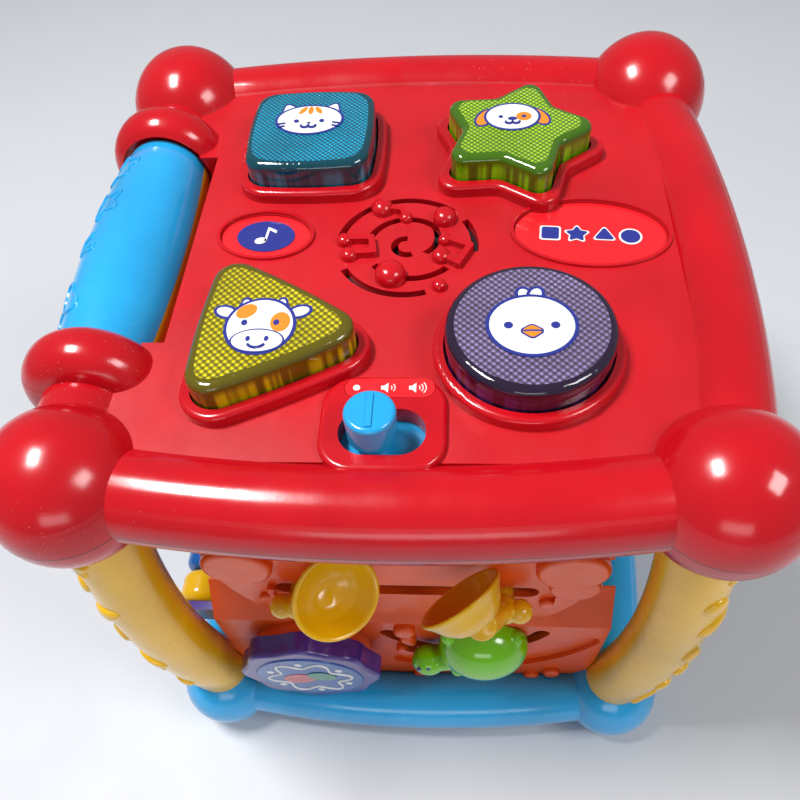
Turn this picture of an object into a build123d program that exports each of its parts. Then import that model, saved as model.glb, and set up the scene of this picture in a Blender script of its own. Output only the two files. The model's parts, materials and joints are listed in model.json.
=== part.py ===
from build123d import *
import math
import os

os.makedirs("parts", exist_ok=True)

# Baby activity cube. Millimetres, +Z up, +X to the player's right when facing the orange front (-Y).
# The origin is the centre of the footprint, on the surface the four feet stand on.

# ---- Driving dimensions ----

# The four top balls and four foot balls carry the whole frame.
BALL_PITCH = 136.0
HALF_PITCH = BALL_PITCH / 2
TOP_BALL_R = 17.5
TOP_BALL_Z = 152.2
FOOT_BALL_R = 16.0
FOOT_BALL_Z = 15.6
BEAM_BOW = 6.2
TOP_BEAM_R = 10.0
BASE_BEAM_R = 9.6
WALL = 2.5

# Red top: upper shell and lower tray, closed on one parting plane.
PARTING_Z = 152.0
DECK_Z = 159.0
DECK_HALF = 66.0
TRAY_Z = 140.0
COLLAR_TOP_Z = 162.2
COLLAR_WIDTH = 2.3
LENS_TOP_Z = 168.5
LENS_GAP = 0.4
LENS_TRAVEL = 2.5
LENS_FLANGE = 1.4

# Light-up buttons: centres on the deck.
SQUARE_AT = (-25.0, 33.0)
SQUARE_SIDE = 31.0
SQUARE_CORNER = 5.6
SIDE_BOW = 1.2
STAR_AT = (28.2, 31.4)
STAR_TIP_R = 22.4
STAR_NOTCH_R = 13.6
STAR_TURN = 2.0
STAR_CORNER = 3.6
TRIANGLE_AT = (-28.6, -36.6)
TRIANGLE_R = 24.6
TRIANGLE_CORNER = 5.4
TRIANGLE_TURN = -2.5
CIRCLE_AT = (29.2, -37.6)
CIRCLE_R = 18.0

# Speaker grille, label ovals and volume switch, all in the deck.
GRILLE_AT = (1.2, -2.6)
GRILLE_R = 16.8
GRILLE_SLOT = 1.8
# Each slot: the radii where it starts and ends, then the angles.
GRILLE_WINDINGS = (
    (GRILLE_R, GRILLE_R, 47, 168),
    (GRILLE_R, GRILLE_R, -8, 32),
    (GRILLE_R, GRILLE_R, 209, 288),
    (9.6, 9.4, 45, 168),
    (5.4, 9.6, -30, 46),
    (10.0, 12.8, 222, 322),
    (2.4, 3.4, 84, 296),
)
# Raised on the grille: round beads (x, y, radius), and the bars that make notes of them.
NOTE_BEADS = (
    (-6.6, 13.1, 2.8), (9.3, 9.2, 3.0), (-3.3, -11.0, 3.8), (8.4, -14.4, 1.8), (-0.4, 9.6, 1.7),
    (-15.3, 1.4, 2.0), (-13.8, -3.8, 2.1), (9.6, 1.2, 1.8), (8.6, -4.6, 2.3),
)
NOTE_BARS = (
    ((-6.6, 13.1), (-1.4, 12.0)), ((-1.4, 12.0), (-0.4, 9.6)), ((-15.3, 1.4), (-8.6, 1.5)),
    ((-13.8, -3.8), (-7.8, -3.4)), ((-8.6, 1.5), (-7.8, -3.4)), ((9.6, 1.2), (15.6, -1.8)),
    ((8.6, -4.6), (12.6, -7.6)), ((15.6, -1.8), (12.6, -7.6)),
)
NOTE_BAR = (1.6, 1.7)
LEFT_BADGE_AT = (-34.4, 1.6)
LEFT_BADGE_SIZE = (11.5, 8.0)
RIGHT_BADGE_AT = (46.0, 1.2)
RIGHT_BADGE_SIZE = (18.4, 11.4)
BADGE_TILT = -5.0
BADGE_DEPTH = 0.8
SWITCH_AT = (-1.2, -59.6)
SWITCH_PAD = (26.4, 24.0)
SWITCH_PAD_Y = -57.0
SLOT_SIZE = (18.0, 11.4)
KNOB_R = 5.3
KNOB_X = -3.1
KNOB_TOP_Z = 168.0
SWITCH_LABEL = (19.0, 5.0)
SWITCH_LABEL_AT = (-0.2, -48.4)

# Roller on the left edge.
ROLLER_X = -68.8
ROLLER_Z = 152.2
ROLLER_MID_R = 13.5
ROLLER_END_R = 11.2
ROLLER_HALF = 36.0
ROLLER_SEAM = 15.0
BAY_R = 17.5
CUP_R = 16.4
CUP_Y = (34.0, 48.6)
CUP_ROUND = 7.0
RECESS_R = 12.8
RECESS_DEPTH = 3.2
NECK_R = 10.5
AXLE_R = 2.5
RUNNING_GAP = 0.06

# Posts.
POST_R = 9.3
POST_END = 66.5
POST_MID = 71.5
POST_BOTTOM_Z = 18.0
POST_TOP_Z = 145.0

# Core: a square box with cut corners, one moulded panel a side.
CORE_HALF = 58.0
CORE_CUT = 6.0
CORE_BOTTOM_Z = 10.0

# Base plate and battery box.
PLATE_HALF = 69.0
PLATE_CUT = 15.0
PLATE_T = 3.0
DOOR_SIZE = (64.0, 40.0)
DOOR_T = 2.4
CELL_R = 7.1
CELL_LENGTH = 50.0
SCREW_R = 1.5
SCREW_X = 42.0
SCREW_Y = -50.0

# Front panel play pieces.
BLOCK_Y = -66.0
BLOCK_HALF = 60.0
BLOCK_TOP_Z = 69.0
SHOULDER_Z = 81.0
MEDALLION_AT_Z = 106.0
MEDALLION_R = 53.0
MEDALLION_Y = -64.0
CYMBAL_SLOT_X = (-37.0, 37.0)
CYMBAL_SLOT_Z = (86.9, 93.1)
CYMBAL_Z = 90.0
CYMBAL_R = 12.0
CYMBAL_BOSS_Y = -69.0
CYMBAL_BOSS_R = 4.2
CYMBAL_KNOB_R = 3.5
CYMBAL_STEM_R = 2.8
CLIP_Y = (-61.1, -59.3)
# Each cymbal: rim centre, the way its hollow faces, and where its boss sits along the slot.
CYMBALS = {
    "cymbal_left": ((-15.9, -74.4, 109.3), (0.52, -0.60, 0.61), -29.7),
    "cymbal_right": ((15.2, -74.6, 110.4), (-0.586, 0.608, 0.523), 27.2),
}
DIAL_AT = (-32.0, 49.4)
DIAL_R = 22.4
DIAL_AXLE_R = 4.0
DIAL_LOBES = 8
DIAL_BACK_Y = -70.2
DIAL_FRONT_Y = -77.0
TURTLE_PIVOT = (16.0, 74.0)
TURTLE_AT = (21.8, 58.0)
TRACK_OUTER_R = 42.0
TRACK_INNER_R = 26.5
TRACK_WIDTH = 5.0
TRACK_FROM = -150.0
TRACK_TO = -24.0
TURTLE_CLIP_Y = (-63.1, -61.3)
TURTLE_PEG_R = 2.1

# Side panels (gears on the right, drum and keys at the back, beads and door on the left).
GEAR_TEETH = (16, 12)
GEAR_MODULE = 2.6
GEAR_T = 8.0
GEAR_GAP = 0.8
GEAR_PIN_R = 3.0
GEAR_ANGLE = 20.0
GEAR_SPREAD = GEAR_MODULE * sum(GEAR_TEETH) / 2
LARGE_GEAR_AT = (-15.0, 62.0)
SMALL_GEAR_AT = (
    LARGE_GEAR_AT[0] + GEAR_SPREAD * math.cos(math.radians(GEAR_ANGLE)),
    LARGE_GEAR_AT[1] + GEAR_SPREAD * math.sin(math.radians(GEAR_ANGLE)),
)
GEAR_AT = (LARGE_GEAR_AT, SMALL_GEAR_AT)
DRUM_AT = (0.0, 102.0)
DRUM_R = 19.0
KEY_SIZE = (22.0, 40.0)
KEY_PIVOT_Z = 62.0
KEY_Y = -65.2
KEY_XS = (-24.0, 0.0, 24.0)
KEY_ROD_R = 1.6
BEAD_X = -73.0
BEAD_Z = 48.0
BEAD_ROD_R = 2.0
BEAD_R = 7.0
BEAD_BAR_HALF = 54.2
BEADS = {"bead_front": (42.0, 53.4), "bead_barrel": (-41.4, 41.4), "bead_back": (-53.4, -42.0)}
DOOR_SHAPE = (40.0, 44.0)
DOOR_PIVOT_Z = 112.0
DOOR_PIVOT_Y = -61.4
DOOR_PIN_R = 1.5

# Electronics, on one board between the tray and the deck.
BOARD_Z = 145.0
BOARD_T = 1.6
PAD_HEIGHT = 3.0
FLANGE_TOP_Z = DECK_Z - WALL - 0.2
FLANGE_T = 1.6


# ---- Small helpers ----

def save(shape, name):
    export_step(shape, "parts/" + name + ".step")


def joined(pieces):
    total = pieces[0]
    for piece in pieces[1:]:
        total = total + piece
    return total


def upright(sketch, height, z=0.0, at=(0.0, 0.0)):
    """A flat outline stood up along +Z from height z."""
    return Pos(at[0], at[1], z) * extrude(sketch, height, dir=(0, 0, 1))


def forward(sketch, depth, y):
    """An outline drawn in X and Z, pushed from plane y towards the front by depth."""
    return extrude(Plane.XZ.offset(-y) * sketch, depth, dir=(0, -1, 0))


def rod_y(radius, y_from, y_to, x=0.0, z=0.0):
    length = y_to - y_from
    return Pos(x, (y_from + y_to) / 2, z) * Rot(90, 0, 0) * Cylinder(radius, length)


def ball(radius):
    """A sphere with its poles turned away from the main axes, so that what joins it never meets them."""
    return Rot(30, 30, 0) * Sphere(radius)


def turned(solid, degrees):
    """Turned about the vertical centre line of the toy."""
    return Rot(0, 0, degrees) * solid


def bowed_tube(radius, start, middle, end):
    """A round bar whose centre line is the arc through three points."""
    path = ThreePointArc(start, middle, end)
    return sweep(Plane(path @ 0, z_dir=path % 0) * Circle(radius), path=path)


# ---- Outlines of the four buttons ----

def bowed_polygon(points, radius):
    """A centred polygon whose sides swell outwards, with rounded corners."""
    sides = []
    for k, start in enumerate(points):
        end = points[(k + 1) % len(points)]
        middle = Vector(start[0] + end[0], start[1] + end[1]) / 2
        crest = middle + middle.normalized() * SIDE_BOW
        sides.append(ThreePointArc(start, (crest.X, crest.Y), end).edges()[0])
    face = make_face(sides)
    return fillet(face.vertices(), radius)


def grown(points, grow):
    """The corner points of a centred polygon moved out so that every side shifts by grow."""
    moved = []
    count = len(points)
    for k in range(count):
        before = Vector(*points[k - 1])
        here = Vector(*points[k])
        after = Vector(*points[(k + 1) % count])
        first = (here - before).normalized()
        second = (after - here).normalized()
        normal_a = Vector(first.Y, -first.X)
        normal_b = Vector(second.Y, -second.X)
        shift = (normal_a + normal_b) * (grow / (1 + normal_a.dot(normal_b)))
        moved.append((here.X + shift.X, here.Y + shift.Y))
    return moved


def square_outline(grow=0.0):
    half = SQUARE_SIDE / 2 + grow
    return bowed_polygon([(-half, -half), (half, -half), (half, half), (-half, half)], SQUARE_CORNER + grow)


def star_outline(grow=0.0):
    points = []
    for k in range(10):
        radius = STAR_TIP_R if k % 2 == 0 else STAR_NOTCH_R
        angle = math.radians(STAR_TURN + 36 * k)
        points.append((radius * math.cos(angle), radius * math.sin(angle)))
    face = Polygon(*grown(points, grow), align=None)
    return fillet(face.vertices(), STAR_CORNER + 0.4 * grow)


def triangle_outline(grow=0.0):
    points = []
    for k in range(3):
        angle = math.radians(TRIANGLE_TURN + 120 * k)
        points.append((TRIANGLE_R * math.cos(angle), TRIANGLE_R * math.sin(angle)))
    return bowed_polygon(grown(points, grow), TRIANGLE_CORNER + grow)


def circle_outline(grow=0.0):
    return Circle(CIRCLE_R + grow)


BUTTONS = {
    "square": (SQUARE_AT, square_outline),
    "star": (STAR_AT, star_outline),
    "triangle": (TRIANGLE_AT, triangle_outline),
    "circle": (CIRCLE_AT, circle_outline),
}


# ---- Red top ----

def beam_ends(z):
    """Start, middle and end of the four beams, in the order front, right, back, left."""
    half = HALF_PITCH
    crest = HALF_PITCH + BEAM_BOW
    corner = [(-half, -half), (half, -half), (half, half), (-half, half)]
    middle = [(0, -crest), (crest, 0), (0, crest), (-crest, 0)]
    spans = []
    for k in range(4):
        start = corner[k]
        end = corner[(k + 1) % 4]
        spans.append(((*start, z), (*middle[k], z), (*end, z)))
    return spans


def cup(side, inset):
    """The round bell that holds one end of the roller, with its neck to the corner ball."""
    near, far = CUP_Y
    body = rod_y(CUP_R - inset, near + inset, far - inset, ROLLER_X, ROLLER_Z)
    body = fillet(body.edges().filter_by(GeomType.CIRCLE), CUP_ROUND - inset)
    neck = rod_y(NECK_R - inset, far - inset - 1, HALF_PITCH - 8, ROLLER_X, ROLLER_Z)
    pair = body + neck
    return pair if side > 0 else Rot(0, 0, 180) * Pos(-2 * ROLLER_X, 0, 0) * pair


def top_form(inset):
    """The whole red top as one solid, shrunk by inset on every side to give its hollow."""
    slab_z = (TRAY_Z + inset, DECK_Z - inset)
    side = 2 * (DECK_HALF - inset)
    slab = upright(RectangleRounded(side, side, 8.0), slab_z[1] - slab_z[0], slab_z[0])
    bay = rod_y(BAY_R + inset, -CUP_Y[0] - inset, CUP_Y[0] + inset, ROLLER_X, ROLLER_Z)
    pieces = [slab - bay]
    for start, middle, end in beam_ends(TOP_BALL_Z)[:3]:
        pieces.append(bowed_tube(TOP_BEAM_R - inset, start, middle, end))
    for x in (-HALF_PITCH, HALF_PITCH):
        for y in (-HALF_PITCH, HALF_PITCH):
            pieces.append(Pos(x, y, TOP_BALL_Z) * Sphere(TOP_BALL_R - inset))
    pieces += [cup(1, inset), cup(-1, inset)]
    reach = CUP_Y[0] + RECESS_DEPTH + inset
    return joined(pieces) - rod_y(RECESS_R + inset, -reach, reach, ROLLER_X, ROLLER_Z)


def below(z):
    return Pos(0, 0, z - 200) * Box(400, 400, 400)


def collar(name):
    at, outline = BUTTONS[name]
    ring = extrude(outline(LENS_GAP + COLLAR_WIDTH), COLLAR_TOP_Z - DECK_Z + 1)
    top = ring.faces().sort_by(Axis.Z)[-1]
    ring = fillet(top.edges(), 1.2)
    return Pos(*at, DECK_Z - 1) * ring


def spiral_slot(r_from, r_to, from_angle, to_angle):
    """A slot through the deck whose centre line winds from one radius to another."""
    steps = 24
    outer = []
    inner = []
    for k in range(steps + 1):
        angle = math.radians(from_angle + (to_angle - from_angle) * k / steps)
        radius = r_from + (r_to - r_from) * k / steps
        for side, edge in ((1, outer), (-1, inner)):
            reach = radius + side * GRILLE_SLOT / 2
            edge.append((reach * math.cos(angle), reach * math.sin(angle)))
    band = Polygon(*outer, *reversed(inner), align=None)
    return upright(band, 12, DECK_Z - 10, GRILLE_AT)


def grille_slots():
    """Three slots round the rim, a spiral inside them and a small hook at the middle."""
    cutters = [spiral_slot(*winding) for winding in GRILLE_WINDINGS]
    return joined(cutters)


def ellipse_at(size, at, depth, z, tilt=BADGE_TILT):
    return Pos(at[0], at[1], z) * Rot(0, 0, tilt) * extrude(Ellipse(*size), depth)


def badge_lip(size, at):
    lip = ellipse_at((size[0] + 1.0, size[1] + 1.0), at, 0.7, DECK_Z)
    return lip - ellipse_at((size[0] + 0.2, size[1] + 0.2), at, 0.7, DECK_Z)


def note_bar(start, end):
    width, height = NOTE_BAR
    along = Vector(*end) - Vector(*start)
    angle = math.degrees(math.atan2(along.Y, along.X))
    middle = (Vector(*start) + Vector(*end)) / 2
    bar = extrude(RectangleRounded(along.length + width, width, 0.45 * width), height + 0.5)
    return Pos(middle.X, middle.Y, DECK_Z - 0.5) * Rot(0, 0, angle) * bar


def grille_notes():
    """Raised round beads and small music notes standing over the grille."""
    raised = [note_bar(*ends) for ends in NOTE_BARS]
    for x, y, radius in NOTE_BEADS:
        stud = extrude(Circle(radius), 0.9 * radius + 0.8)
        top = stud.faces().sort_by(Axis.Z)[-1]
        raised.append(Pos(x, y, DECK_Z - 0.5) * fillet(top.edges(), 0.8 * radius))
    return Pos(*GRILLE_AT) * joined(raised)


def switch_pad():
    width, depth = SWITCH_PAD
    pad = extrude(RectangleRounded(width, depth, 7.5), 2.4)
    top = pad.faces().sort_by(Axis.Z)[-1]
    pad = fillet(top.edges(), 1.2)
    return Pos(SWITCH_AT[0], SWITCH_PAD_Y, DECK_Z - 0.6) * pad


def label_pill(grow, thickness, z):
    width, height = SWITCH_LABEL
    pill = RectangleRounded(width + 2 * grow, height + 2 * grow, height / 2 - 0.1)
    return upright(pill, thickness, z, SWITCH_LABEL_AT)


def top_cover(shell):
    cover = shell - below(PARTING_Z)
    cover = cover - grille_slots()
    for size, at in ((LEFT_BADGE_SIZE, LEFT_BADGE_AT), (RIGHT_BADGE_SIZE, RIGHT_BADGE_AT)):
        cover = cover + badge_lip(size, at) - ellipse_at(size, at, 4, DECK_Z - BADGE_DEPTH)
    for name in BUTTONS:
        cover = cover + collar(name)
    cover = cover + switch_pad() + grille_notes()
    for at, outline in BUTTONS.values():
        cover = cover - upright(outline(LENS_GAP), 20, DECK_Z - 4, at)
    cover = cover - upright(RectangleRounded(*SLOT_SIZE, 5.6), 20, DECK_Z - 4, SWITCH_AT)
    return cover - label_pill(0.1, 2, DECK_Z + 1.3)


# ---- Posts and base ----

def post(x_side, y_side, radius=POST_R):
    end = (x_side * POST_END, y_side * POST_END)
    middle = (x_side * POST_MID, y_side * POST_MID, (POST_BOTTOM_Z + POST_TOP_Z) / 2)
    return bowed_tube(radius, (*end, POST_BOTTOM_Z), middle, (*end, POST_TOP_Z))


POSTS = {
    "post_front_left": (-1, -1),
    "post_front_right": (1, -1),
    "post_back_right": (1, 1),
    "post_back_left": (-1, 1),
}


def base_form(inset):
    """Foot balls and base beams as one solid, shrunk by inset for the hollow."""
    pieces = []
    for start, middle, end in beam_ends(FOOT_BALL_Z):
        pieces.append(bowed_tube(BASE_BEAM_R - inset, start, middle, end))
    for x in (-HALF_PITCH, HALF_PITCH):
        for y in (-HALF_PITCH, HALF_PITCH):
            ball = Pos(x, y, FOOT_BALL_Z) * Sphere(FOOT_BALL_R - inset)
            pieces.append(ball - below(inset))
    return joined(pieces)


def cut_square(half, cut):
    outline = Polygon(
        (-half + cut, -half), (half - cut, -half), (half, -half + cut), (half, half - cut),
        (half - cut, half), (-half + cut, half), (-half, half - cut), (-half, -half + cut), align=None)
    return outline


def screw_spots():
    """Two screws along each side of the core."""
    spots = []
    for side in (-1, 1):
        spots += [(side * SCREW_X, SCREW_Y), (side * SCREW_X, -SCREW_Y)]
        spots += [(SCREW_Y, side * SCREW_X), (-SCREW_Y, side * SCREW_X)]
    return spots


def base_plate():
    plate = upright(cut_square(PLATE_HALF, PLATE_CUT), PLATE_T, CORE_BOTTOM_Z - PLATE_T)
    plate = plate - upright(Rectangle(*DOOR_SIZE), PLATE_T, CORE_BOTTOM_Z - PLATE_T)
    for x, y in screw_spots():
        plate = plate - Pos(x, y, CORE_BOTTOM_Z - PLATE_T) * Cylinder(1.7, 20)
    return plate


def base_parts(posts):
    shell = base_form(0.0) - base_form(WALL)
    upper = shell - below(FOOT_BALL_Z - 0.1) - posts
    lower = (shell & below(FOOT_BALL_Z - 0.1)) + (base_plate() - base_form(WALL))
    lower = lower - posts
    return upper, lower


def housing_screws():
    screws = []
    for x, y in screw_spots():
        head = Pos(x, y, CORE_BOTTOM_Z - PLATE_T - 1.0) * Cylinder(3.2, 2.0)
        slot = Pos(x, y, CORE_BOTTOM_Z - PLATE_T - 1.9) * (Box(4.2, 0.9, 1.2) + Box(0.9, 4.2, 1.2))
        shank = Pos(x, y, CORE_BOTTOM_Z + 3.0) * Cylinder(SCREW_R, 12.0)
        screws.append(head - slot + shank)
    return Compound(children=screws)


# ---- Battery box, in the bottom of the core ----

def battery_box():
    length, width = DOOR_SIZE
    outer = upright(Rectangle(length + 5, width + 5), 18.5, CORE_BOTTOM_Z)
    inner = upright(Rectangle(length, width), 16.0, CORE_BOTTOM_Z)
    return outer - inner


def battery_door():
    length, width = DOOR_SIZE
    door = upright(RectangleRounded(length - 0.6, width - 0.6, 1.5), DOOR_T, CORE_BOTTOM_Z - PLATE_T)
    ribs = [Pos(x, 0, CORE_BOTTOM_Z - PLATE_T) * Box(1.2, width - 14, 1.0) for x in range(-24, -8, 4)]
    door = door - joined(ribs)
    return door - Pos(24, 0, 0) * Cylinder(1.7, 40)


def battery_door_screw():
    head = Pos(24, 0, CORE_BOTTOM_Z - PLATE_T - 0.9) * Cylinder(3.0, 1.8)
    slot = Pos(24, 0, CORE_BOTTOM_Z - PLATE_T - 1.7) * (Box(4.0, 0.9, 1.2) + Box(0.9, 4.0, 1.2))
    shank = Pos(24, 0, CORE_BOTTOM_Z + 0.4) * Cylinder(SCREW_R, 6.8)
    return head - slot + shank


def cells():
    """Two AA cells side by side, with their raised positive ends."""
    pair = []
    for y, side in ((-CELL_R - 0.6, 1), (CELL_R + 0.6, -1)):
        can = Rot(0, 90, 0) * Cylinder(CELL_R, CELL_LENGTH)
        nub = Pos(side * (CELL_LENGTH / 2 + 0.5), 0, 0) * Rot(0, 90, 0) * Cylinder(2.7, 1.0)
        pair.append(Pos(0, y, CORE_BOTTOM_Z + 8.4) * (can + nub))
    return Compound(children=pair)


def battery_contacts():
    plates = []
    for x in (-27.2, 27.2):
        plates.append(Pos(x, 0, CORE_BOTTOM_Z + 8.2) * Box(0.8, 28.0, 12.0))
    return Compound(children=plates)


# ---- Panels of the core ----

def wall_panel():
    """One wall of the core, drawn as the front one, with half a cut corner at each end."""
    half = CORE_HALF
    cut = CORE_CUT
    inner = half - WALL
    outer_tip = half - cut / 2
    inner_tip = outer_tip - WALL / math.sqrt(2)
    inner_cut = 2 * (inner - inner_tip)
    outline = Polygon(
        (-outer_tip, -outer_tip), (-half + cut, -half), (half - cut, -half), (outer_tip, -outer_tip),
        (inner_tip, -inner_tip), (inner - inner_cut, -inner), (-inner + inner_cut, -inner),
        (-inner_tip, -inner_tip), align=None)
    wall = upright(outline, TRAY_Z - CORE_BOTTOM_Z, CORE_BOTTOM_Z)
    for x in (-SCREW_X, SCREW_X):
        boss = Cylinder(3.6, 12) + Pos(0, -3, 0) * Box(7.2, 6, 12)
        wall = wall + Pos(x, SCREW_Y, CORE_BOTTOM_Z + 6) * boss
    return wall


def screw_pilots():
    return joined([Pos(x, SCREW_Y, CORE_BOTTOM_Z) * Cylinder(SCREW_R, 19.0) for x in (-SCREW_X, SCREW_X)])


def block(inset, back):
    """The lower block that carries the dial and the turtle track; its bottom corners are cut off."""
    half = BLOCK_HALF - inset
    side_view = Polygon(
        (BLOCK_Y + inset, CORE_BOTTOM_Z + inset), (BLOCK_Y + inset, BLOCK_TOP_Z - inset / 2),
        (-CORE_HALF, SHOULDER_Z - inset), (back, SHOULDER_Z - inset),
        (back, CORE_BOTTOM_Z + inset), align=None)
    solid = Pos(-half, 0, 0) * extrude(Plane.YZ * side_view, 2 * half, dir=(1, 0, 0))
    for side in (-1, 1):
        wedge = Polygon((side * (half + 1), CORE_BOTTOM_Z - 1), (side * (half + 1), CORE_BOTTOM_Z + 18),
                        (side * (half - 16), CORE_BOTTOM_Z - 1), align=None)
        solid = solid - forward(wedge, 60, -20)
    return solid


def block_hollow():
    """Room behind the block's walls, open to the core."""
    rear_wall = Pos(0, -CORE_HALF + 8, TRAY_Z / 2) * Box(200, 20, TRAY_Z)
    passage = Pos(0, -CORE_HALF + 8, TRAY_Z / 2) * Box(98, 20, TRAY_Z)
    return block(WALL, -CORE_HALF + 9) - (rear_wall - passage)


def arc_channel(radius, depth, y, width, start, end):
    arc = CenterArc(TURTLE_PIVOT, radius, start, end - start)
    return forward(SlotArc(arc, width), depth, y)


def bump(x, z, radius, y, height):
    """A low round button standing on the front at plane y."""
    body = rod_y(radius, y - height, y, x, z)
    front = body.edges().filter_by(GeomType.CIRCLE).sort_by(Axis.Y)[0]
    return fillet(front, min(height, radius) * 0.6)


def front_details():
    raised = [bump(-44.0, 106.0, 9.5, MEDALLION_Y, 2.6), bump(44.0, 107.0, 9.5, MEDALLION_Y, 2.6),
              bump(46.0, 96.0, 7.0, MEDALLION_Y, 2.0)]
    for z in (65.0, 56.5, 49.0):
        raised.append(bump(-1.6, z, 3.4, BLOCK_Y, 2.4))
    for x, z in ((34.0, 18.0), (40.5, 23.0), (47.0, 27.5), (2.0, 21.0)):
        raised.append(bump(x, z, 2.8, BLOCK_Y, 2.0))
    for side in (-1, 1):
        head = bump(side * 40.0, 84.0, 2.6, MEDALLION_Y, 1.8)
        stem = Pos(side * 40.0 + 2.0, MEDALLION_Y - 0.8, 88.0) * Box(1.4, 1.8, 8.0)
        flag = Pos(side * 40.0 + 3.6, MEDALLION_Y - 0.8, 91.0) * Rot(0, 30, 0) * Box(4.2, 1.8, 1.6)
        raised.append(head + stem + flag)
    return raised


def front_panel(clearance):
    panel = wall_panel()
    core_height = TRAY_Z - CORE_BOTTOM_Z
    limit = Box(2 * MEDALLION_R, 40, core_height)
    disc = forward(Pos(0, MEDALLION_AT_Z) * Circle(MEDALLION_R), -MEDALLION_Y - 57, -57)
    disc = disc & Pos(0, -61, CORE_BOTTOM_Z + core_height / 2) * limit
    hollow = forward(Pos(0, MEDALLION_AT_Z) * Circle(MEDALLION_R - WALL), -MEDALLION_Y - 50 - WALL, -50)
    hollow = hollow & Pos(0, -61, CORE_BOTTOM_Z + core_height / 2 - WALL) * limit
    platform = rod_y(DIAL_R - 4.0, DIAL_BACK_Y + 0.4, BLOCK_Y, *DIAL_AT)
    panel = joined([panel, disc, block(0.0, -CORE_HALF + 0.5), platform] + front_details())
    panel = panel - hollow - block_hollow()
    slot = RectangleRounded(CYMBAL_SLOT_X[1] - CYMBAL_SLOT_X[0], CYMBAL_SLOT_Z[1] - CYMBAL_SLOT_Z[0], 3.0)
    panel = panel - forward(Pos(0, CYMBAL_Z) * slot, 30, -45)
    panel = panel - arc_channel(TRACK_INNER_R, 30, -45, TRACK_WIDTH, TRACK_FROM, TRACK_TO)
    panel = panel - arc_channel(TRACK_OUTER_R, 1.6, BLOCK_Y + 1.6, 8.6, -116.0, TRACK_TO)
    panel = panel - rod_y(DIAL_AXLE_R, -80, -40, *DIAL_AT)
    return panel - clearance - screw_pilots()


# ---- Front play pieces ----

def lobed_outline(radius, lobes, depth):
    """A wavy circle: round lobes with shallow valleys."""
    points = []
    steps = lobes * 8
    for k in range(steps):
        angle = 2 * math.pi * k / steps
        wave = radius - depth * (1 - math.cos(lobes * angle)) / 2
        points.append((wave * math.cos(angle), wave * math.sin(angle)))
    return make_face(Spline(*points, periodic=True))


def dial_ring():
    """Lobed dial with a shallow round window recess and its hub on the axle."""
    back = DIAL_BACK_Y
    ring = forward(Pos(*DIAL_AT) * lobed_outline(DIAL_R, DIAL_LOBES, 1.8), back - DIAL_FRONT_Y, back)
    front = ring.faces().sort_by(Axis.Y)[0]
    ring = fillet(front.edges(), 1.2)
    ring = ring - rod_y(DIAL_R - 5.4, DIAL_FRONT_Y - 1, DIAL_FRONT_Y + 1.2, *DIAL_AT)
    return ring - rod_y(DIAL_AXLE_R + RUNNING_GAP, DIAL_FRONT_Y + 2.6, back + 1, *DIAL_AT)


def dial_window():
    disc = rod_y(DIAL_R - 5.45, DIAL_FRONT_Y - 0.4, DIAL_FRONT_Y + 1.2, *DIAL_AT)
    rim = disc.edges().filter_by(GeomType.CIRCLE).sort_by(Axis.Y)[0]
    return fillet(rim, 0.5)


def dial_axle():
    shaft = rod_y(DIAL_AXLE_R, DIAL_FRONT_Y + 3.0, -56.0, *DIAL_AT)
    return shaft + rod_y(7.0, BLOCK_Y + WALL, BLOCK_Y + WALL + 2, *DIAL_AT)


def cymbal(name):
    """A deep bell on a round boss with a small knob; its stem passes through the slot to a clip."""
    centre, facing, boss_x = CYMBALS[name]
    rim = CYMBAL_R
    profile = Polygon(
        (0, -9.0), (3.4, -8.6), (6.4, -7.2), (8.8, -4.8), (10.2, -2.2), (rim - 0.6, -0.5), (rim, 0.0), (rim, 0.8),
        (rim - 1.2, 0.9), (9.4, -1.4), (7.6, -3.8), (5.2, -5.6), (2.8, -6.6), (0, -6.9), align=None)
    seat = Plane(origin=centre, z_dir=facing)
    bell = seat.location * revolve(Plane.XZ * profile, Axis.Z)
    hub = Vector(*centre) + Vector(*facing).normalized() * -8.0
    boss_at = Vector(boss_x, CYMBAL_BOSS_Y, CYMBAL_Z)
    arm = hub - boss_at
    link = Plane(origin=boss_at, z_dir=arm).location * extrude(Circle(3.0), arm.length)
    boss = Pos(*boss_at) * ball(CYMBAL_BOSS_R)
    side = math.copysign(1, boss_x)
    knob = Pos(boss_x + side * CYMBAL_BOSS_R, CYMBAL_BOSS_Y - 0.9, CYMBAL_Z + 1) * ball(CYMBAL_KNOB_R)
    stem = rod_y(CYMBAL_STEM_R, CYMBAL_BOSS_Y, CLIP_Y[1], boss_x, CYMBAL_Z)
    return joined([link, boss, knob, stem, bell])


def clip(x, z, bore, y_from, y_to):
    """A round push-on clip behind a slot."""
    return rod_y(4.6, y_from, y_to, x, z) - rod_y(bore, y_from - 1, y_to + 1, x, z)


def turtle():
    """A domed green turtle with a head, four feet, a tail and a peg through its track."""
    x, z = TURTLE_AT
    y = BLOCK_Y - 0.6
    dome = Pos(x, y, z) * scale(Sphere(14.0), (1.0, 0.96, 0.95))
    keep = Pos(x, y - 20, z) * Box(60, 40, 60)
    dome = dome & keep
    head = Pos(x - 16.5, y - 5.6, z - 5.0) * ball(5.2)
    neck = Pos(x - 12.5, y - 5.4, z - 4.0) * Rot(0, -76, 0) * Cylinder(3.6, 9)
    feet = []
    for dx, dz in ((-8.5, -12.0), (8.5, -11.6), (-8.0, 11.6), (10.0, 10.8)):
        feet.append(Pos(x + dx, y - 3.6, z + dz) * ball(3.4))
    tail = Pos(x + 14.0, y - 3.4, z - 3.0) * ball(2.4)
    body = joined([dome, head, neck, tail] + feet)
    return body + rod_y(TURTLE_PEG_R, y - 1, TURTLE_CLIP_Y[1], *turtle_peg())


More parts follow.
